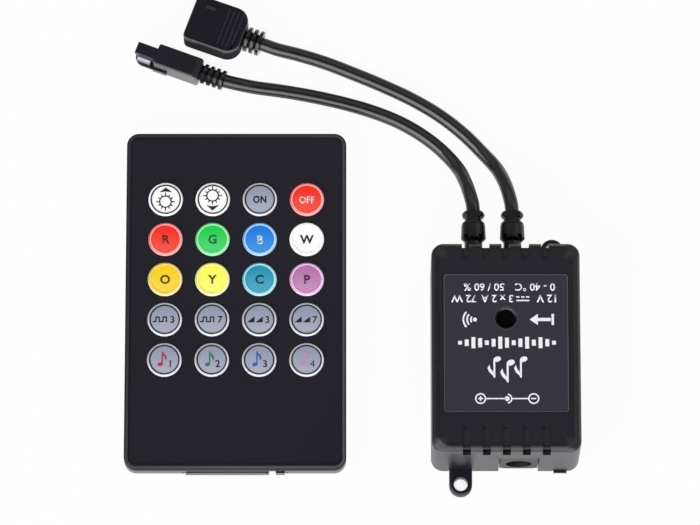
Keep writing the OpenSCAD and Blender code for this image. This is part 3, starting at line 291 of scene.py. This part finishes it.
def crisp(node, width):
    """Smooth faces for a carried-over solid, a small round on its sharp edges, and flat sides kept flat."""
    piece = nodes[node]
    for face in piece.data.polygons:
        face.use_smooth = True
    weld = piece.modifiers.new("weld", "WELD")
    weld.merge_threshold = WELD_REACH
    flat = piece.modifiers.new("flat", "DECIMATE")
    flat.decimate_type = "DISSOLVE"
    flat.angle_limit = FLAT_ANGLE
    bevel = piece.modifiers.new("edge", "BEVEL")
    bevel.width = width * MM
    bevel.segments = 2
    bevel.limit_method = "ANGLE"
    bevel.angle_limit = SHARP_ANGLE
    even = piece.modifiers.new("even", "WEIGHTED_NORMAL")
    even.weight = 100
    return piece


def dress(names, material, width=0):
    """Puts a finish on carried-over solids."""
    for name in names:
        piece = crisp(name, width) if width else nodes[name]
        piece.data.materials.clear()
        piece.data.materials.append(material)


boot_vinyl = vinyl("boot_vinyl", (12, 11, 15), 0.3)
dress(["output_relief", "sensor_relief"], boot_vinyl, 0.12)
RIB_CREST = 2.15 * MM


def crest_gloss(route):
    """The ribs of a boot are polished by handling, and the grooves between them stay dull."""
    end = Vector(route[-1]) * MM
    axis = (end - Vector(route[-2]) * MM).normalized()

    def gloss(place):
        away = place.node("ShaderNodeVectorMath", {"operation": "SUBTRACT"}, i0=place, i1=end)
        away = away.node("ShaderNodeVectorMath", {"operation": "CROSS_PRODUCT"}, i0=away, i1=axis)
        radius = away.node("ShaderNodeVectorMath", {"operation": "LENGTH"}, out=1, i0=away)
        return radius.above(RIB_CREST, 0.3 * MM)

    return gloss


for boot, route in (("plug_boot", OUTPUT_ROUTE), ("sensor_boot", SENSOR_ROUTE)):
    rib_vinyl = vinyl(boot + "_vinyl", (14, 13, 16), 0.3, 1.2, crest_gloss(route))
    dress([boot], rib_vinyl, 0.12)


# Output plug. A flat four-way socket body of black plastic with soft corners, fine grip lines
# and a raised mark, with plated contacts inside its openings.
def moulded(name, shade, roughness, grain=7000.0, depth=0.03 * MM, cast=0.12, ior=1.48,
            form=None, tint=None, gloss=None):
    """Moulded plastic with a fine spark-eroded texture, slightly uneven in tone and gloss.

    The form bends its surface, the tint changes its colour and the gloss polishes it, each from
    the place on the object.
    """
    material, shader, place = new_material(name)
    cloud = place.node("ShaderNodeTexNoise", Vector=place, Scale=70.0, Detail=4.0)
    speck = place.node("ShaderNodeTexNoise", Vector=place, Scale=grain, Detail=2.0)
    tone = cloud * 0.7 + speck * 0.3
    deep, pale = (rgb(*(share * c for c in shade)) for share in (1 - cast, 1 + cast))
    color = tone.mix(deep, pale)
    drive(shader, "Base Color", tint(place, color) if tint else color)
    drive(shader, "Roughness", cloud * 0.1 + speck * 0.06 + (roughness - 0.08))
    bent = {"Normal": form(place)} if form else {}
    bump = place.node("ShaderNodeBump", Strength=0.35, Distance=depth, Height=speck, **bent)
    drive(shader, "Normal", bump)
    drive(shader, "IOR", ior)
    if gloss:
        drive(shader, "Coat Weight", gloss(place))
        drive(shader, "Coat Roughness", 0.2)
    return material


GRIP_DEPTH = 0.25 * MM
BEAD_DEPTH = 0.85 * MM
PLUG_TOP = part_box("plug_body")[1].z - GRIP_DEPTH


def bead_gloss(place):
    """The fine bead along the plug's upper edges is shiny."""
    height = place.axis("Z")
    bead = 1.0 - height.above(PLUG_TOP - 0.04 * MM, 0.04 * MM)
    return height.above(PLUG_TOP - BEAD_DEPTH, 0.1 * MM) * bead


def plug_painted_highlights(place, color):
    """The raised mark and the grip lines are painted paler, as painted highlights."""
    height = place.axis("Z")
    below_top = 1.0 - height.above(PLUG_TOP - 0.1 * MM, 0.1 * MM)
    # Painted highlight: the grip lines and the raised mark are painted paler.
    sunk = height.above(PLUG_TOP - 1.2 * GRIP_DEPTH, 0.05 * MM) * below_top
    raised = height.above(PLUG_TOP + 0.1 * MM, 0.1 * MM)
    return (sunk + raised * 0.6).mix(color, rgb(64, 62, 69))


plug_plastic = moulded("plug_plastic", (31, 30, 37), 0.36, ior=1.04, tint=plug_painted_highlights, gloss=bead_gloss)
dress(["plug_body"], plug_plastic, 0.12)


def plated(name, shade, roughness):
    """Nickel plate with fine rubbing marks."""
    material, shader, place = new_material(name)
    marks = place.node("ShaderNodeTexNoise", Vector=place, Scale=2600.0, Detail=3.0)
    drive(shader, "Base Color", marks.mix(rgb(*(0.9 * c for c in shade)), rgb(*shade)))
    drive(shader, "Roughness", marks * 0.16 + roughness)
    drive(shader, "Metallic", 1.0)
    return material


nickel = plated("nickel_plate", (226, 222, 214), 0.22)
dress(
    ["plug_contacts", "jack_pin", "jack_spring", "snap_domes", "battery_contacts"],
    nickel, 0.04,
)

# Sensor head. A small black block whose open snout holds the bright receiver can,
# with a sill under it and a sloping band behind.
HEAD_TURN = math.radians(-20.5)
HEAD_ALONG = Vector((math.cos(HEAD_TURN), math.sin(HEAD_TURN), 0))
HEAD_NEAR = Vector((HEAD_ALONG.y, -HEAD_ALONG.x, 0))
FLANK_DEPTH = 0.9 * MM
head_points = [v.co for v in nodes["sensor_shell"].data.vertices]
head_near = max(p.dot(HEAD_NEAR) for p in head_points)
head_front = min(p.dot(HEAD_ALONG) for p in head_points)
head_back = max(p.dot(HEAD_ALONG) for p in head_points)


def flank_gloss(place):
    """The head's near side is polished, and more so towards the lead."""
    measure = {"operation": "DOT_PRODUCT"}
    near = place.node("ShaderNodeVectorMath", measure, out=1, i0=place, i1=HEAD_NEAR)
    along = place.node("ShaderNodeVectorMath", measure, out=1, i0=place, i1=HEAD_ALONG)
    rise = (along - head_front).math("DIVIDE", head_back - head_front, clamp=True)
    return near.above(head_near - FLANK_DEPTH, 0.5 * MM) * (rise * 0.3 + 0.3)


head_plastic = moulded("head_plastic", (23, 21, 31), 0.3, ior=1.4, gloss=flank_gloss)
dress(["sensor_shell"], head_plastic, 0.12)
receiver_shield = plated("receiver_shield", (146, 146, 153), 0.36)
dress(["ir_receiver"], receiver_shield, 0.05)

# Control box. Two charcoal shells of textured plastic, with vent slots that wrap over both ends,
# screw ears on opposite corners and a well in the top for the label.
BOX_CORNER = 3 * MM
ROLL_CORNER = 4.6 * MM
ROLL_REACH = 2 * MM
ROLL_DROP = 0.6 * MM
ROLL_START = 0.85 * MM
ROLL_FOOT = 1.35 * MM
FOOT_TOP = 0.45 * MM
VENT_DEPTH = 0.7 * MM
LABEL_CORNER = 0.8 * MM
SEAT_LINE = 0.4 * MM
cover_low, cover_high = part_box("top_cover")
label_low, label_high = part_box("label")


def rolled_edges(place):
    """The top falls away softly towards its edges."""
    ramp = place.node(
        "ShaderNodeMapRange", {"interpolation_type": "SMOOTHSTEP"},
        Value=inset(place, cover_low, cover_high, ROLL_CORNER), From_Max=ROLL_REACH,
    )
    upper = place.axis("Z").above(cover_high.z - ROLL_FOOT, 0.1 * MM)
    return place.node("ShaderNodeBump", Strength=1.0, Distance=ROLL_DROP, Height=ramp * upper)


def cover_shade(place, color):
    """Painted shade darkens the top where it starts to roll, and a painted shadow line lies in the seat of
    the label.

    The floors of the vents are painted paler as painted light, and the foot of the roll at the near end
    holds a painted highlight.
    """
    height = place.axis("Z")
    rim = inset(place, cover_low, cover_high, BOX_CORNER)
    # Painted shade: the top is darkened where it starts to roll.
    roll = rim.above(ROLL_START, 0.2 * MM) * (1.0 - rim.above(ROLL_REACH, 0.25 * MM))
    # Painted light: the floors of the vents are painted paler.
    sunk = (1.0 - height.above(cover_high.z - VENT_DEPTH, 0.1 * MM)) * rim.above(0.5 * MM, 0.1 * MM)
    # Painted shadow: a dark line round the seat of the label.
    seat = inset(place, label_low, label_high, LABEL_CORNER).above(-SEAT_LINE, 0.15 * MM)
    near_end = (cover_low.y + 0.6 * MM - place.axis("Y")).above(0.0, 0.3 * MM)
    below_roll = 1.0 - height.above(cover_high.z - FOOT_TOP, 0.4 * MM)
    # Painted highlight: the foot of the roll is painted pale at the near end.
    foot = height.above(cover_high.z - ROLL_FOOT, 0.2 * MM) * below_roll * near_end * (1.0 - sunk)
    shade = (sunk * 0.8).mix(color, rgb(38, 37, 43))
    shade = (roll * 0.9).mix(shade, rgb(2, 2, 4))
    shade = (seat * 0.75).mix(shade, rgb(4, 4, 6))
    return foot.mix(shade, rgb(66, 64, 70))


def corner_gloss(place):
    """The rounded corners of the top are polished by handling."""
    rim = inset(place, cover_low, cover_high, BOX_CORNER)
    cut = rim - inset(place, cover_low, cover_high, ROLL_CORNER)
    return cut.above(0.3 * MM, 0.4 * MM) * rim.above(0.9 * MM, 0.3 * MM)


cover_plastic = moulded(
    "cover_plastic", (17, 15, 27), 0.36, ior=1.53, form=rolled_edges, tint=cover_shade, gloss=corner_gloss,
)
dress(["top_cover"], cover_plastic, 0.2)
case_plastic = moulded("case_plastic", (17, 15, 27), 0.4)
dress(["base_plate"], case_plastic, 0.15)
jack_plastic = moulded("jack_plastic", (24, 23, 26), 0.45)
dress(["dc_jack"], jack_plastic, 0.08)

# Microphone. An aluminium can on the board, right under the cover's round port. Its open face
# is covered with black felt, which is all that shows from above.
FELT_THICKNESS = 0.15 * MM
felt, felt_shader, felt_place = new_material("microphone_felt")
can_low, can_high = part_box("microphone")
on_top = felt_place.axis("Z").above(can_high.z - FELT_THICKNESS, 0.05 * MM)
hairs = felt_place.node("ShaderNodeTexNoise", Vector=felt_place, Scale=6000.0, Detail=4.0)
drive(felt_shader, "Base Color", on_top.mix(rgb(204, 206, 208), rgb(3, 3, 4)))
drive(felt_shader, "Metallic", 1.0 - on_top)
drive(felt_shader, "Roughness", on_top * 0.6 + 0.32)
drive(felt_shader, "Specular IOR Level", 0.1)
nap = felt_place.node("ShaderNodeBump", Strength=0.5, Distance=0.05 * MM, Height=hairs)
drive(felt_shader, "Normal", nap)
dress(["microphone"], felt)

# Label. A dark satin polyester sheet in the cover's well, silk-screened in white
# with signs for the ports, the jack's polarity and the sound input.
PORT_MIDDLE = (can_low + can_high) / 2
PORT_RING = 2.85 * MM
EDGE_HIGHLIGHT_LINE = 0.25 * MM


def label_edge_highlights(place, color):
    """Fine pale lines are painted round the sheet and round the port, as painted highlights on their edges.
    """
    edge = inset(place, label_low, label_high, LABEL_CORNER)
    across, along = place.axis("X") - PORT_MIDDLE.x, place.axis("Y") - PORT_MIDDLE.y
    port = (across * across + along * along).math("SQRT")
    # Painted highlights along the sheet's edge and round the port.
    line = (1.0 - edge.above(EDGE_HIGHLIGHT_LINE, 0.12 * MM)).math("MAXIMUM", 1.0 - port.above(PORT_RING, 0.12 * MM))
    return line.mix(color, rgb(78, 76, 84))


label_film = moulded(
    "label_film", (40, 37, 49), 0.5, grain=9000.0, depth=0.01 * MM, cast=0.05, tint=label_edge_highlights,
)
dress(["label"], label_film)


def ink(name, shade):
    """Screen ink with a slightly starved, uneven film."""
    material, shader, place = new_material(name)
    film = place.node("ShaderNodeTexNoise", Vector=place, Scale=3800.0, Detail=2.0)
    drive(shader, "Base Color", film.mix(rgb(*(0.9 * c for c in shade)), rgb(*shade)))
    drive(shader, "Roughness", film * 0.1 + 0.5)
    return material


INK_THICKNESS = 0.02
MERGE_REACH = 0.0005
CAPITAL_SHARE = 0.73


class Print:
    """One printed sign, drawn in millimetres on its own flat page, then raised and placed."""

    def __init__(self):
        self.bm = bmesh.new()

    def disc(self, x, y, radius, squeeze=1.0, turn=0.0):
        """A filled round, squeezed to an oval and turned where the sign needs it."""
        made = bmesh.ops.create_circle(self.bm, cap_ends=True, segments=40, radius=radius)
        oval = Matrix.Rotation(turn, 4, "Z") @ Matrix.Diagonal((1, squeeze, 1, 1))
        bmesh.ops.transform(self.bm, matrix=Matrix.Translation((x, y, 0)) @ oval, verts=made["verts"])

    def ring(self, x, y, radius, line, start=0.0, sweep=math.tau):
        """A ring or an arc of the given line width, about its middle radius."""
        steps = max(8, round(48 * sweep / math.tau))
        first = bmesh.ops.create_vert(self.bm, co=(x + radius - line / 2, y, 0))["vert"][0]
        second = bmesh.ops.create_vert(self.bm, co=(x + radius + line / 2, y, 0))["vert"][0]
        edge = self.bm.edges.new((first, second))
        turn = Matrix.Rotation(start, 3, "Z")
        bmesh.ops.rotate(self.bm, verts=[first, second], cent=(x, y, 0), matrix=turn)
        bmesh.ops.spin(
            self.bm, geom=[first, second, edge], cent=(x, y, 0), axis=(0, 0, 1), angle=sweep,
            steps=steps, use_merge=sweep == math.tau,
        )

    def shape(self, corners):
        """A flat face through the given corners."""
        self.bm.faces.new([self.bm.verts.new((x, y, 0)) for x, y in corners])

    def bar(self, x0, y0, x1, y1, line):
        """A straight stroke of the given line width."""
        along = Vector((x1 - x0, y1 - y0)).normalized() * line / 2
        side = Vector((-along.y, along.x))
        start, end = Vector((x0, y0)), Vector((x1, y1))
        self.shape([start - side, end - side, end + side, start + side])

    def text(self, words, x, y, height, weight=0.0, spread=1.0, stretch=1.0):
        """Letters centred on a point, in the plain built-in face. The height is that of a capital."""
        curve = bpy.data.curves.new("letters", "FONT")
        curve.body = words
        curve.size = height / CAPITAL_SHARE
        curve.offset = weight
        curve.space_character = spread
        curve.align_x = "CENTER"
        curve.resolution_u = 4
        holder = bpy.data.objects.new("letters", curve)
        bpy.context.scene.collection.objects.link(holder)
        mesh = bpy.data.meshes.new_from_object(holder)
        mesh.transform(Matrix.Translation((x, y - height / 2, 0)) @ Matrix.Diagonal((stretch, 1, 1, 1)))
        self.bm.from_mesh(mesh)
        bpy.data.objects.remove(holder)

    def place(self, name, material, slot, body, at, turn=0.0):
        """Raises the print by the ink's thickness and lays it on its surface."""
        bmesh.ops.remove_doubles(self.bm, verts=self.bm.verts[:], dist=MERGE_REACH)
        for face in self.bm.faces:
            if face.normal.z < 0:
                face.normal_flip()
        bmesh.ops.solidify(self.bm, geom=self.bm.faces[:], thickness=-INK_THICKNESS)
        bmesh.ops.recalc_face_normals(self.bm, faces=self.bm.faces[:])
        bmesh.ops.scale(self.bm, verts=self.bm.verts[:], vec=(MM,) * 3)
        turned = Matrix.Rotation(turn, 3, "Z")
        bmesh.ops.rotate(self.bm, verts=self.bm.verts[:], cent=(0, 0, 0), matrix=turned)
        lowest = min(v.co.z for v in self.bm.verts)
        bmesh.ops.translate(self.bm, verts=self.bm.verts[:], vec=Vector(at) - Vector((0, 0, lowest)))
        mesh = bpy.data.meshes.new(name)
        self.bm.to_mesh(mesh)
        self.bm.free()
        piece = link_piece(name, mesh, material)
        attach(piece, body)


white_ink = ink("white_ink", (250, 250, 252))


def label_sign(name, sign, x, y):
    """Places a sign on the label, which reads from the far end of the box."""
    sign.place(name, white_ink, "label_sheet", "control_box", (x * MM, y * MM, label_high.z), math.pi)


# The polarity sign: a pole in a ring on either side, and the pin inside its open sleeve.
SIGN_LINE = 0.34
POLE_X = 6.4
polarity = Print()
for side in (-1, 1):
    polarity.ring(POLE_X * side, 0, 1.18, SIGN_LINE)
    polarity.bar(POLE_X * side - 0.6, 0, POLE_X * side + 0.6, 0, SIGN_LINE)
    polarity.bar(POLE_X, 0.17 * side, POLE_X, 0.6 * side, SIGN_LINE)
polarity.bar(-5.1, 0, -1.2, 0, 0.32)
polarity.bar(0.4, 0, 5.1, 0, 0.32)
polarity.disc(0, 0, 0.6)
polarity.ring(0, 0, 1.1, SIGN_LINE, math.radians(100), math.radians(160))
label_sign("polarity_sign", polarity, 0.15, -12.8)

# The ratings stand in two lines of plain numbers.
SIGN_WEIGHT = 0.045
SMALL_LETTER = 1.9
ratings = Print()
ratings.text("12 V", -10.0, 0, 2.0, SIGN_WEIGHT)
ratings.bar(-5.6, 0.45, -2.4, 0.45, SIGN_LINE)
for dash in range(3):
    ratings.bar(-5.6 + 1.2 * dash, -0.45, -4.8 + 1.2 * dash, -0.45, SIGN_LINE)
ratings.text("3 x 2 A", 2.1, 0, SMALL_LETTER, SIGN_WEIGHT)
ratings.text("72 W", 10.2, 0, SMALL_LETTER, SIGN_WEIGHT)
label_sign("rating_numbers", ratings, 0.1, 12.1)
limits = Print()
limits.text("0 - 40 \u00b0C", -6.5, 0, SMALL_LETTER, SIGN_WEIGHT)
limits.text("50 / 60 %", 5.8, 0, SMALL_LETTER, SIGN_WEIGHT)
label_sign("limit_numbers", limits, 0.6, 15.0)

# Waves mark the sensor's lead and an arrow marks the output lead.
sensor_wave = Print()
for k in range(3):
    sensor_wave.ring(-1.5, 0, 1.0 + 0.9 * k, 0.42, math.radians(-42), math.radians(84))
sensor_wave.disc(-1.5, 0, 0.5)
label_sign("sensor_sign", sensor_wave, -9.0, 6.9)
output_arrow = Print()
output_arrow.bar(-2.1, 0, 1.0, 0, 0.8)
output_arrow.shape([(1.0, 1.4), (1.0, -1.4), (3.0, 0)])
output_arrow.bar(-2.6, -1.4, -2.6, 1.4, 0.6)
label_sign("output_sign", output_arrow, 8.7, 6.9)

# A row of level bars and three notes stand for the sound input.
BAR_HEIGHTS = [1.0, 1.8, 2.7, 1.5, 2.9, 2.1, 1.2, 2.5, 3.0, 1.9, 1.1, 2.3, 2.8, 1.6, 0.9]
BAR_STEP = 1.62
BAR_WIDTH = 0.95
sound_bars = Print()
for k, tall in enumerate(BAR_HEIGHTS):
    bar_x = (k - (len(BAR_HEIGHTS) - 1) / 2) * BAR_STEP
    sound_bars.bar(bar_x, -tall / 2, bar_x, tall / 2, BAR_WIDTH)
label_sign("sound_bars", sound_bars, 0.2, 1.1)


def note(sign, x, y, size):
    """A quaver: a tilted head, a stem and a broad flag."""
    sign.disc(x - 0.3 * size, y - 0.7 * size, 0.34 * size, 0.72, math.radians(20))
    sign.bar(x - 0.04 * size, y - 0.66 * size, x - 0.04 * size, y + 0.62 * size, 0.17 * size)
    flag = [
        (-0.125, 0.62), (0.045, 0.5), (0.3, 0.18), (0.4, -0.2), (0.58, 0.12),
        (0.4, 0.52), (0.08, 0.82), (0.02, 1.0), (-0.125, 1.0),
    ]
    sign.shape([(x + across * size, y + up * size) for across, up in flag])


sound_sign = Print()
note(sound_sign, -3.0, -0.5, 2.7)
note(sound_sign, 0.2, 0.5, 2.9)
note(sound_sign, 3.4, -0.5, 2.7)
label_sign("sound_sign", sound_sign, 0.4, -5.4)

# Remote. Two thin charcoal shells with a raised rim round a printed satin face sheet,
# and a drawer for the coin cell in the near end.
REMOTE_CORNER = 3 * MM
RIM_LINE_FROM = 0.38 * MM
RIM_LINE_TO = 0.95 * MM
SHOULDER_DEPTH = 2.4 * MM
FACE_INSET = 1.4 * MM
rim_low, rim_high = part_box("remote_front_shell")


def rim_painted_highlight(place, color):
    """A pale line is painted along the rim as a painted highlight, mostly on its near and right sides."""
    middle, reach = (rim_low + rim_high) / 2, (rim_high - rim_low) / 2
    right = (place.axis("X") - middle.x) * (0.5 / reach.x)
    near = (middle.y - place.axis("Y")) * (0.5 / reach.y)
    edge = inset(place, rim_low, rim_high, REMOTE_CORNER) + near.above(0.475, 0.045) * RIM_LINE_FROM
    line = edge.above(RIM_LINE_FROM, 0.15 * MM) * (1.0 - edge.above(RIM_LINE_TO, 0.15 * MM))
    line = line * place.axis("Z").above(rim_high.z - 0.12 * MM, 0.05 * MM)
    # The painted highlight is strongest on the near and right sides.
    side = (right + near + 0.5).math("ADD", clamp=True)
    return (line * (side * 0.8 + 0.2)).mix(color, rgb(80, 79, 85))


def wall_gloss(place):
    """The wall is shiny below the rim's shoulder."""
    return 1.0 - place.axis("Z").above(rim_high.z - SHOULDER_DEPTH, 0.4 * MM)


rim_plastic = moulded("rim_plastic", (40, 38, 46), 0.42, ior=1.06, tint=rim_painted_highlight, gloss=wall_gloss)
dress(["remote_front_shell"], rim_plastic, 0.2)
remote_plastic = moulded("remote_plastic", (27, 26, 31), 0.2, ior=2.0)
dress(["remote_back_shell"], remote_plastic, 0.2)
dress(["tray_latch"], remote_plastic, 0.08)
tray_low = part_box("battery_tray")[0]
LIP_DEPTH = 0.5 * MM
LIP_HEIGHT = 0.75 * MM


def lip_painted_highlight(place, color):
    """The lip under the drawer's scoop is painted pale, as a painted highlight."""
    deep = (place.axis("Y") - tray_low.y).above(LIP_DEPTH, 0.2 * MM)
    high = (place.axis("Z") - tray_low.z).above(LIP_HEIGHT, 0.2 * MM)
    # Painted highlight on the lip under the scoop.
    return ((1.0 - deep) * (1.0 - high)).mix(color, rgb(150, 149, 152))


tray_plastic = moulded("tray_plastic", (24, 23, 28), 0.3, ior=1.06, tint=lip_painted_highlight)
dress(["battery_tray"], tray_plastic, 0.08)


def face_painted_shadow(place, color):
    """The face is painted darker in a line inside the rim, as a painted shadow."""
    edge = inset(place, rim_low, rim_high, REMOTE_CORNER)
    # Painted shadow inside the rim.
    return (1.0 - edge.above(FACE_INSET, 0.2 * MM)).mix(color, rgb(2, 2, 4))


face_film = moulded(
    "face_film", (13, 11, 25), 0.42, grain=9000.0, depth=0.01 * MM, cast=0.06, tint=face_painted_shadow,
)
dress(["remote_face"], face_film)
emitter_epoxy = moulded("emitter_epoxy", (70, 72, 96), 0.15, depth=0.0)
dress(["ir_emitter"], emitter_epoxy)
cell_steel = plated("cell_steel", (214, 214, 212), 0.26)
dress(["coin_cell"], cell_steel, 0.1)


# Keys. Embossed rounds of printed film over snap domes. Each has a disc in its colour, a line
# round it and a raised ring outside, and its sign is printed in the middle.
# The films carry painted highlights on their near side and painted shade on the far part of the ring.
KEY_RADIUS = 4.25 * MM
KEY_SIDE = 0.995
RING_RISE = 0.08 * MM
BLACK_LINE = (0.795, 0.885)
TINT_LINE = (0.83, 0.9)


def key_film(name, centre, disc, line, ring, line_from, line_to):
    """Film with a disc, a line round it and a ring outside about the key's centre, with painted light and
    shade.
    """
    material, shader, place = new_material(name)
    middle = (centre.x, centre.y, 0)
    flat = place.node("ShaderNodeVectorMath", {"operation": "SUBTRACT"}, i0=place, i1=middle)
    flat = flat.node("ShaderNodeVectorMath", {"operation": "MULTIPLY"}, i0=flat, i1=(1, 1, 0))
    radius = flat.node("ShaderNodeVectorMath", {"operation": "LENGTH"}, out=1, i0=flat)
    soft = 0.12 * MM
    flake = place.node("ShaderNodeTexNoise", Vector=place, Scale=4200.0, Detail=4.0)
    worn = flake.above(0.5, 0.45)
    # Painted highlight: the disc is painted lighter towards the near side.
    near_highlight = flat.axis("Y") * (-0.95 / KEY_RADIUS) + 0.5
    body = near_highlight.mix(rgb(*disc), rgb(*(min(255, 0.8 * c + 52) for c in disc)))
    body = (worn * 0.14).mix(body, rgb(*(min(255, 1.15 * c + 16) for c in disc)))
    # Painted shade: the far part of the ring is painted darker.
    shaded = 0.97 if disc == ring else 0.84
    own = 1.0 if line_from == BLACK_LINE[0] else 0.65
    far_ring = [shaded * (own * c + (1 - own) * d) for c, d in zip(ring, disc)]
    # Painted highlight: the ring is painted lighter towards the near and right sides.
    lit = flat.axis("X") * (0.4 / KEY_RADIUS) + flat.axis("Y") * (-0.5 / KEY_RADIUS) + 0.5
    rim = lit.mix(rgb(*far_ring), rgb(*(0.6 * c + 102 for c in ring)))
    film = radius.above(KEY_RADIUS * line_from, soft).mix(body, rgb(*line))
    film = radius.above(KEY_RADIUS * line_to, soft).mix(film, rim)
    skirt = rgb(*(0.35 * c for c in ring))
    drive(shader, "Base Color", radius.above(KEY_RADIUS * KEY_SIDE, 0.05 * MM).mix(film, skirt))
    drive(shader, "Roughness", flake * 0.14 + 0.28)
    drive(shader, "Normal", place.node("ShaderNodeBump", Strength=0.2, Distance=0.01 * MM, Height=flake))
    return material


def tinted(disc, line, ring):
    """A coloured disc with a thin pale line round it."""
    return (disc, line, ring, *TINT_LINE)


def lined(disc, ring):
    """A pale disc with a broad black line round it."""
    return (disc, (22, 21, 28), ring, *BLACK_LINE)


black_ink = ink("black_ink", (18, 17, 24))
pale_ink = ink("pale_ink", (255, 200, 200))
RED_FILM = tinted((245, 38, 20), (255, 176, 178), (246, 120, 126))
WHITE_FILM = lined((255, 255, 255), (255, 255, 255))
SILVER_FILM = lined((144, 149, 172), (212, 213, 225))
KEYS = [
    ("brighter", "key_white", WHITE_FILM, "sun_up", black_ink),
    ("dimmer", "key_white", WHITE_FILM, "sun_down", black_ink),
    ("on", "key_grey", SILVER_FILM, "ON", black_ink),
    ("off", "key_scarlet", RED_FILM, "OFF", pale_ink),
    ("red", "key_scarlet", RED_FILM, "R", ink("dark_red_ink", (120, 6, 12))),
    ("green", "key_leaf", tinted((24, 203, 76), (178, 250, 190), (112, 226, 138)), "G",
     ink("dark_green_ink", (8, 100, 36))),
    ("blue", "key_sea", tinted((14, 121, 221), (190, 226, 255), (120, 186, 244)), "B",
     ink("ice_ink", (230, 248, 255))),
    ("white", "key_white", tinted((255, 255, 253), (255, 255, 255), (255, 255, 253)), "W", black_ink),
    ("orange", "key_amber", tinted((248, 207, 20), (254, 224, 128), (252, 222, 130)), "O",
     ink("brown_ink", (92, 48, 6))),
    ("yellow", "key_lemon", tinted((253, 252, 86), (252, 250, 150), (250, 250, 168)), "Y",
     ink("olive_ink", (88, 80, 10))),
    ("cyan", "key_sky", tinted((28, 144, 178), (186, 240, 250), (134, 212, 232)), "C",
     ink("navy_ink", (6, 40, 80))),
    ("purple", "key_violet", tinted((180, 114, 168), (250, 210, 244), (230, 172, 222)), "P",
     ink("plum_ink", (76, 14, 66))),
    ("jump_3", "key_grey", SILVER_FILM, "step 3", black_ink),
    ("jump_7", "key_grey", SILVER_FILM, "step 7", black_ink),
    ("fade_3", "key_grey", SILVER_FILM, "ramp 3", black_ink),
    ("fade_7", "key_grey", SILVER_FILM, "ramp 7", black_ink),
    ("music_1", "key_silver", SILVER_FILM, "note 1", ink("note_red", (176, 48, 66))),
    ("music_2", "key_silver", SILVER_FILM, "note 2", ink("note_green", (40, 128, 98))),
    ("music_3", "key_silver", SILVER_FILM, "note 3", ink("note_blue", (52, 98, 184))),
    ("music_4", "key_silver", SILVER_FILM, "note 4", ink("note_pink", (196, 148, 192))),
]
DISC_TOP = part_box("key_on")[1].z - RING_RISE


def sun(sign, x, y):
    """A lamp's round with twelve rays, and the middle left open."""
    lamp_radius, ray_start, short_ray, long_ray = 1.42, 1.59, 2.05, 2.3
    sign.ring(x, y, lamp_radius, 0.32)
    for k in range(12):
        angle = math.tau * k / 12
        ray_end = short_ray if k % 3 else long_ray
        sign.bar(
            x + ray_start * math.cos(angle), y + ray_start * math.sin(angle),
            x + ray_end * math.cos(angle), y + ray_end * math.sin(angle), 0.28,
        )


def pulse(sign, x):
    """One square pulse, drawn as a single outline."""
    line, low, high, wide = 0.3, -0.72, 0.72, 0.8
    up, down = x + wide, x + 2 * wide
    sign.shape([(x, low), (x, low + line), (up - line / 2, low + line), (up - line / 2, low)])
    sign.shape([
        (up - line / 2, low), (up - line / 2, high), (down + line / 2, high), (down + line / 2, low),
        (down - line / 2, low), (down - line / 2, high - line), (up + line / 2, high - line),
        (up + line / 2, low),
    ])


for key, slot, film, legend, legend_ink in KEYS:
    node = "key_" + key
    low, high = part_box(node)
    centre = (low + high) / 2
    dress([node], key_film(node + "_film", centre, *film), 0.05)
    sign = Print()
    number = None
    if legend == "sun_up":
        sun(sign, -0.07, -0.62)
        sign.shape([(0, 3.05), (-1.6, 1.75), (0, 2.0), (1.6, 1.75)])
    elif legend == "sun_down":
        sun(sign, -0.07, 0.95)
        sign.shape([(-0.05, -2.9), (1.5, -1.5), (-0.05, -1.8), (-1.6, -1.5)])
    elif legend.startswith("step"):
        pulse(sign, -2.95)
        pulse(sign, -1.2)
        sign.text(legend[-1], 1.9, 0, 1.75, SIGN_WEIGHT)
    elif legend.startswith("ramp"):
        sign.shape([(-2.95, -0.75), (-1.2, -0.75), (-1.2, 0.75)])
        sign.shape([(-0.9, -0.75), (0.85, -0.75), (0.85, 0.75)])
        sign.text(legend[-1], 1.95, 0, 1.75, SIGN_WEIGHT)
    elif legend.startswith("note"):
        note(sign, -0.45, 0.15, 1.9)
        number = Print()
        number.text(legend[-1], 1.45, -0.95, 1.8, 0.04 if legend[-1] != "4" else 0)
    else:
        height, stretch = (1.8, 0.84) if len(legend) > 1 else (2.2, 1.0)
        sign.text(legend, 0, 0, height, 0.09, 1.06, stretch)
    sign.place(node + "_sign", legend_ink, slot, node, (centre.x, centre.y, DISC_TOP))
    if number:
        number.place(node + "_number", black_ink, slot, node, (centre.x, centre.y, DISC_TOP))

# Inside. The boards and what stands on them show a little through the vents, the jack
# and the drawer's opening.
board_laminate = moulded("board_laminate", (22, 92, 44), 0.3, depth=0.0)
dress(["main_board", "remote_board"], board_laminate)
chip_epoxy = moulded("chip_epoxy", (30, 30, 32), 0.5)
dress(
    ["controller_chip", "amplifier_chip", "output_transistors", "voltage_regulator", "remote_chip"],
    chip_epoxy,
)
dress(["microphone_boot"], vinyl("boot_rubber", (26, 26, 27), 0.6))
dress(["filter_capacitor"], moulded("capacitor_sleeve", (28, 30, 66), 0.25, depth=0.0))
dress(["chip_components", "resonator"], moulded("fired_ceramic", (176, 148, 108), 0.5))
dress(["output_wires"], vinyl("red_insulation", (180, 38, 30), 0.4))
dress(["sensor_wires"], vinyl("blue_insulation", (40, 70, 160), 0.4))
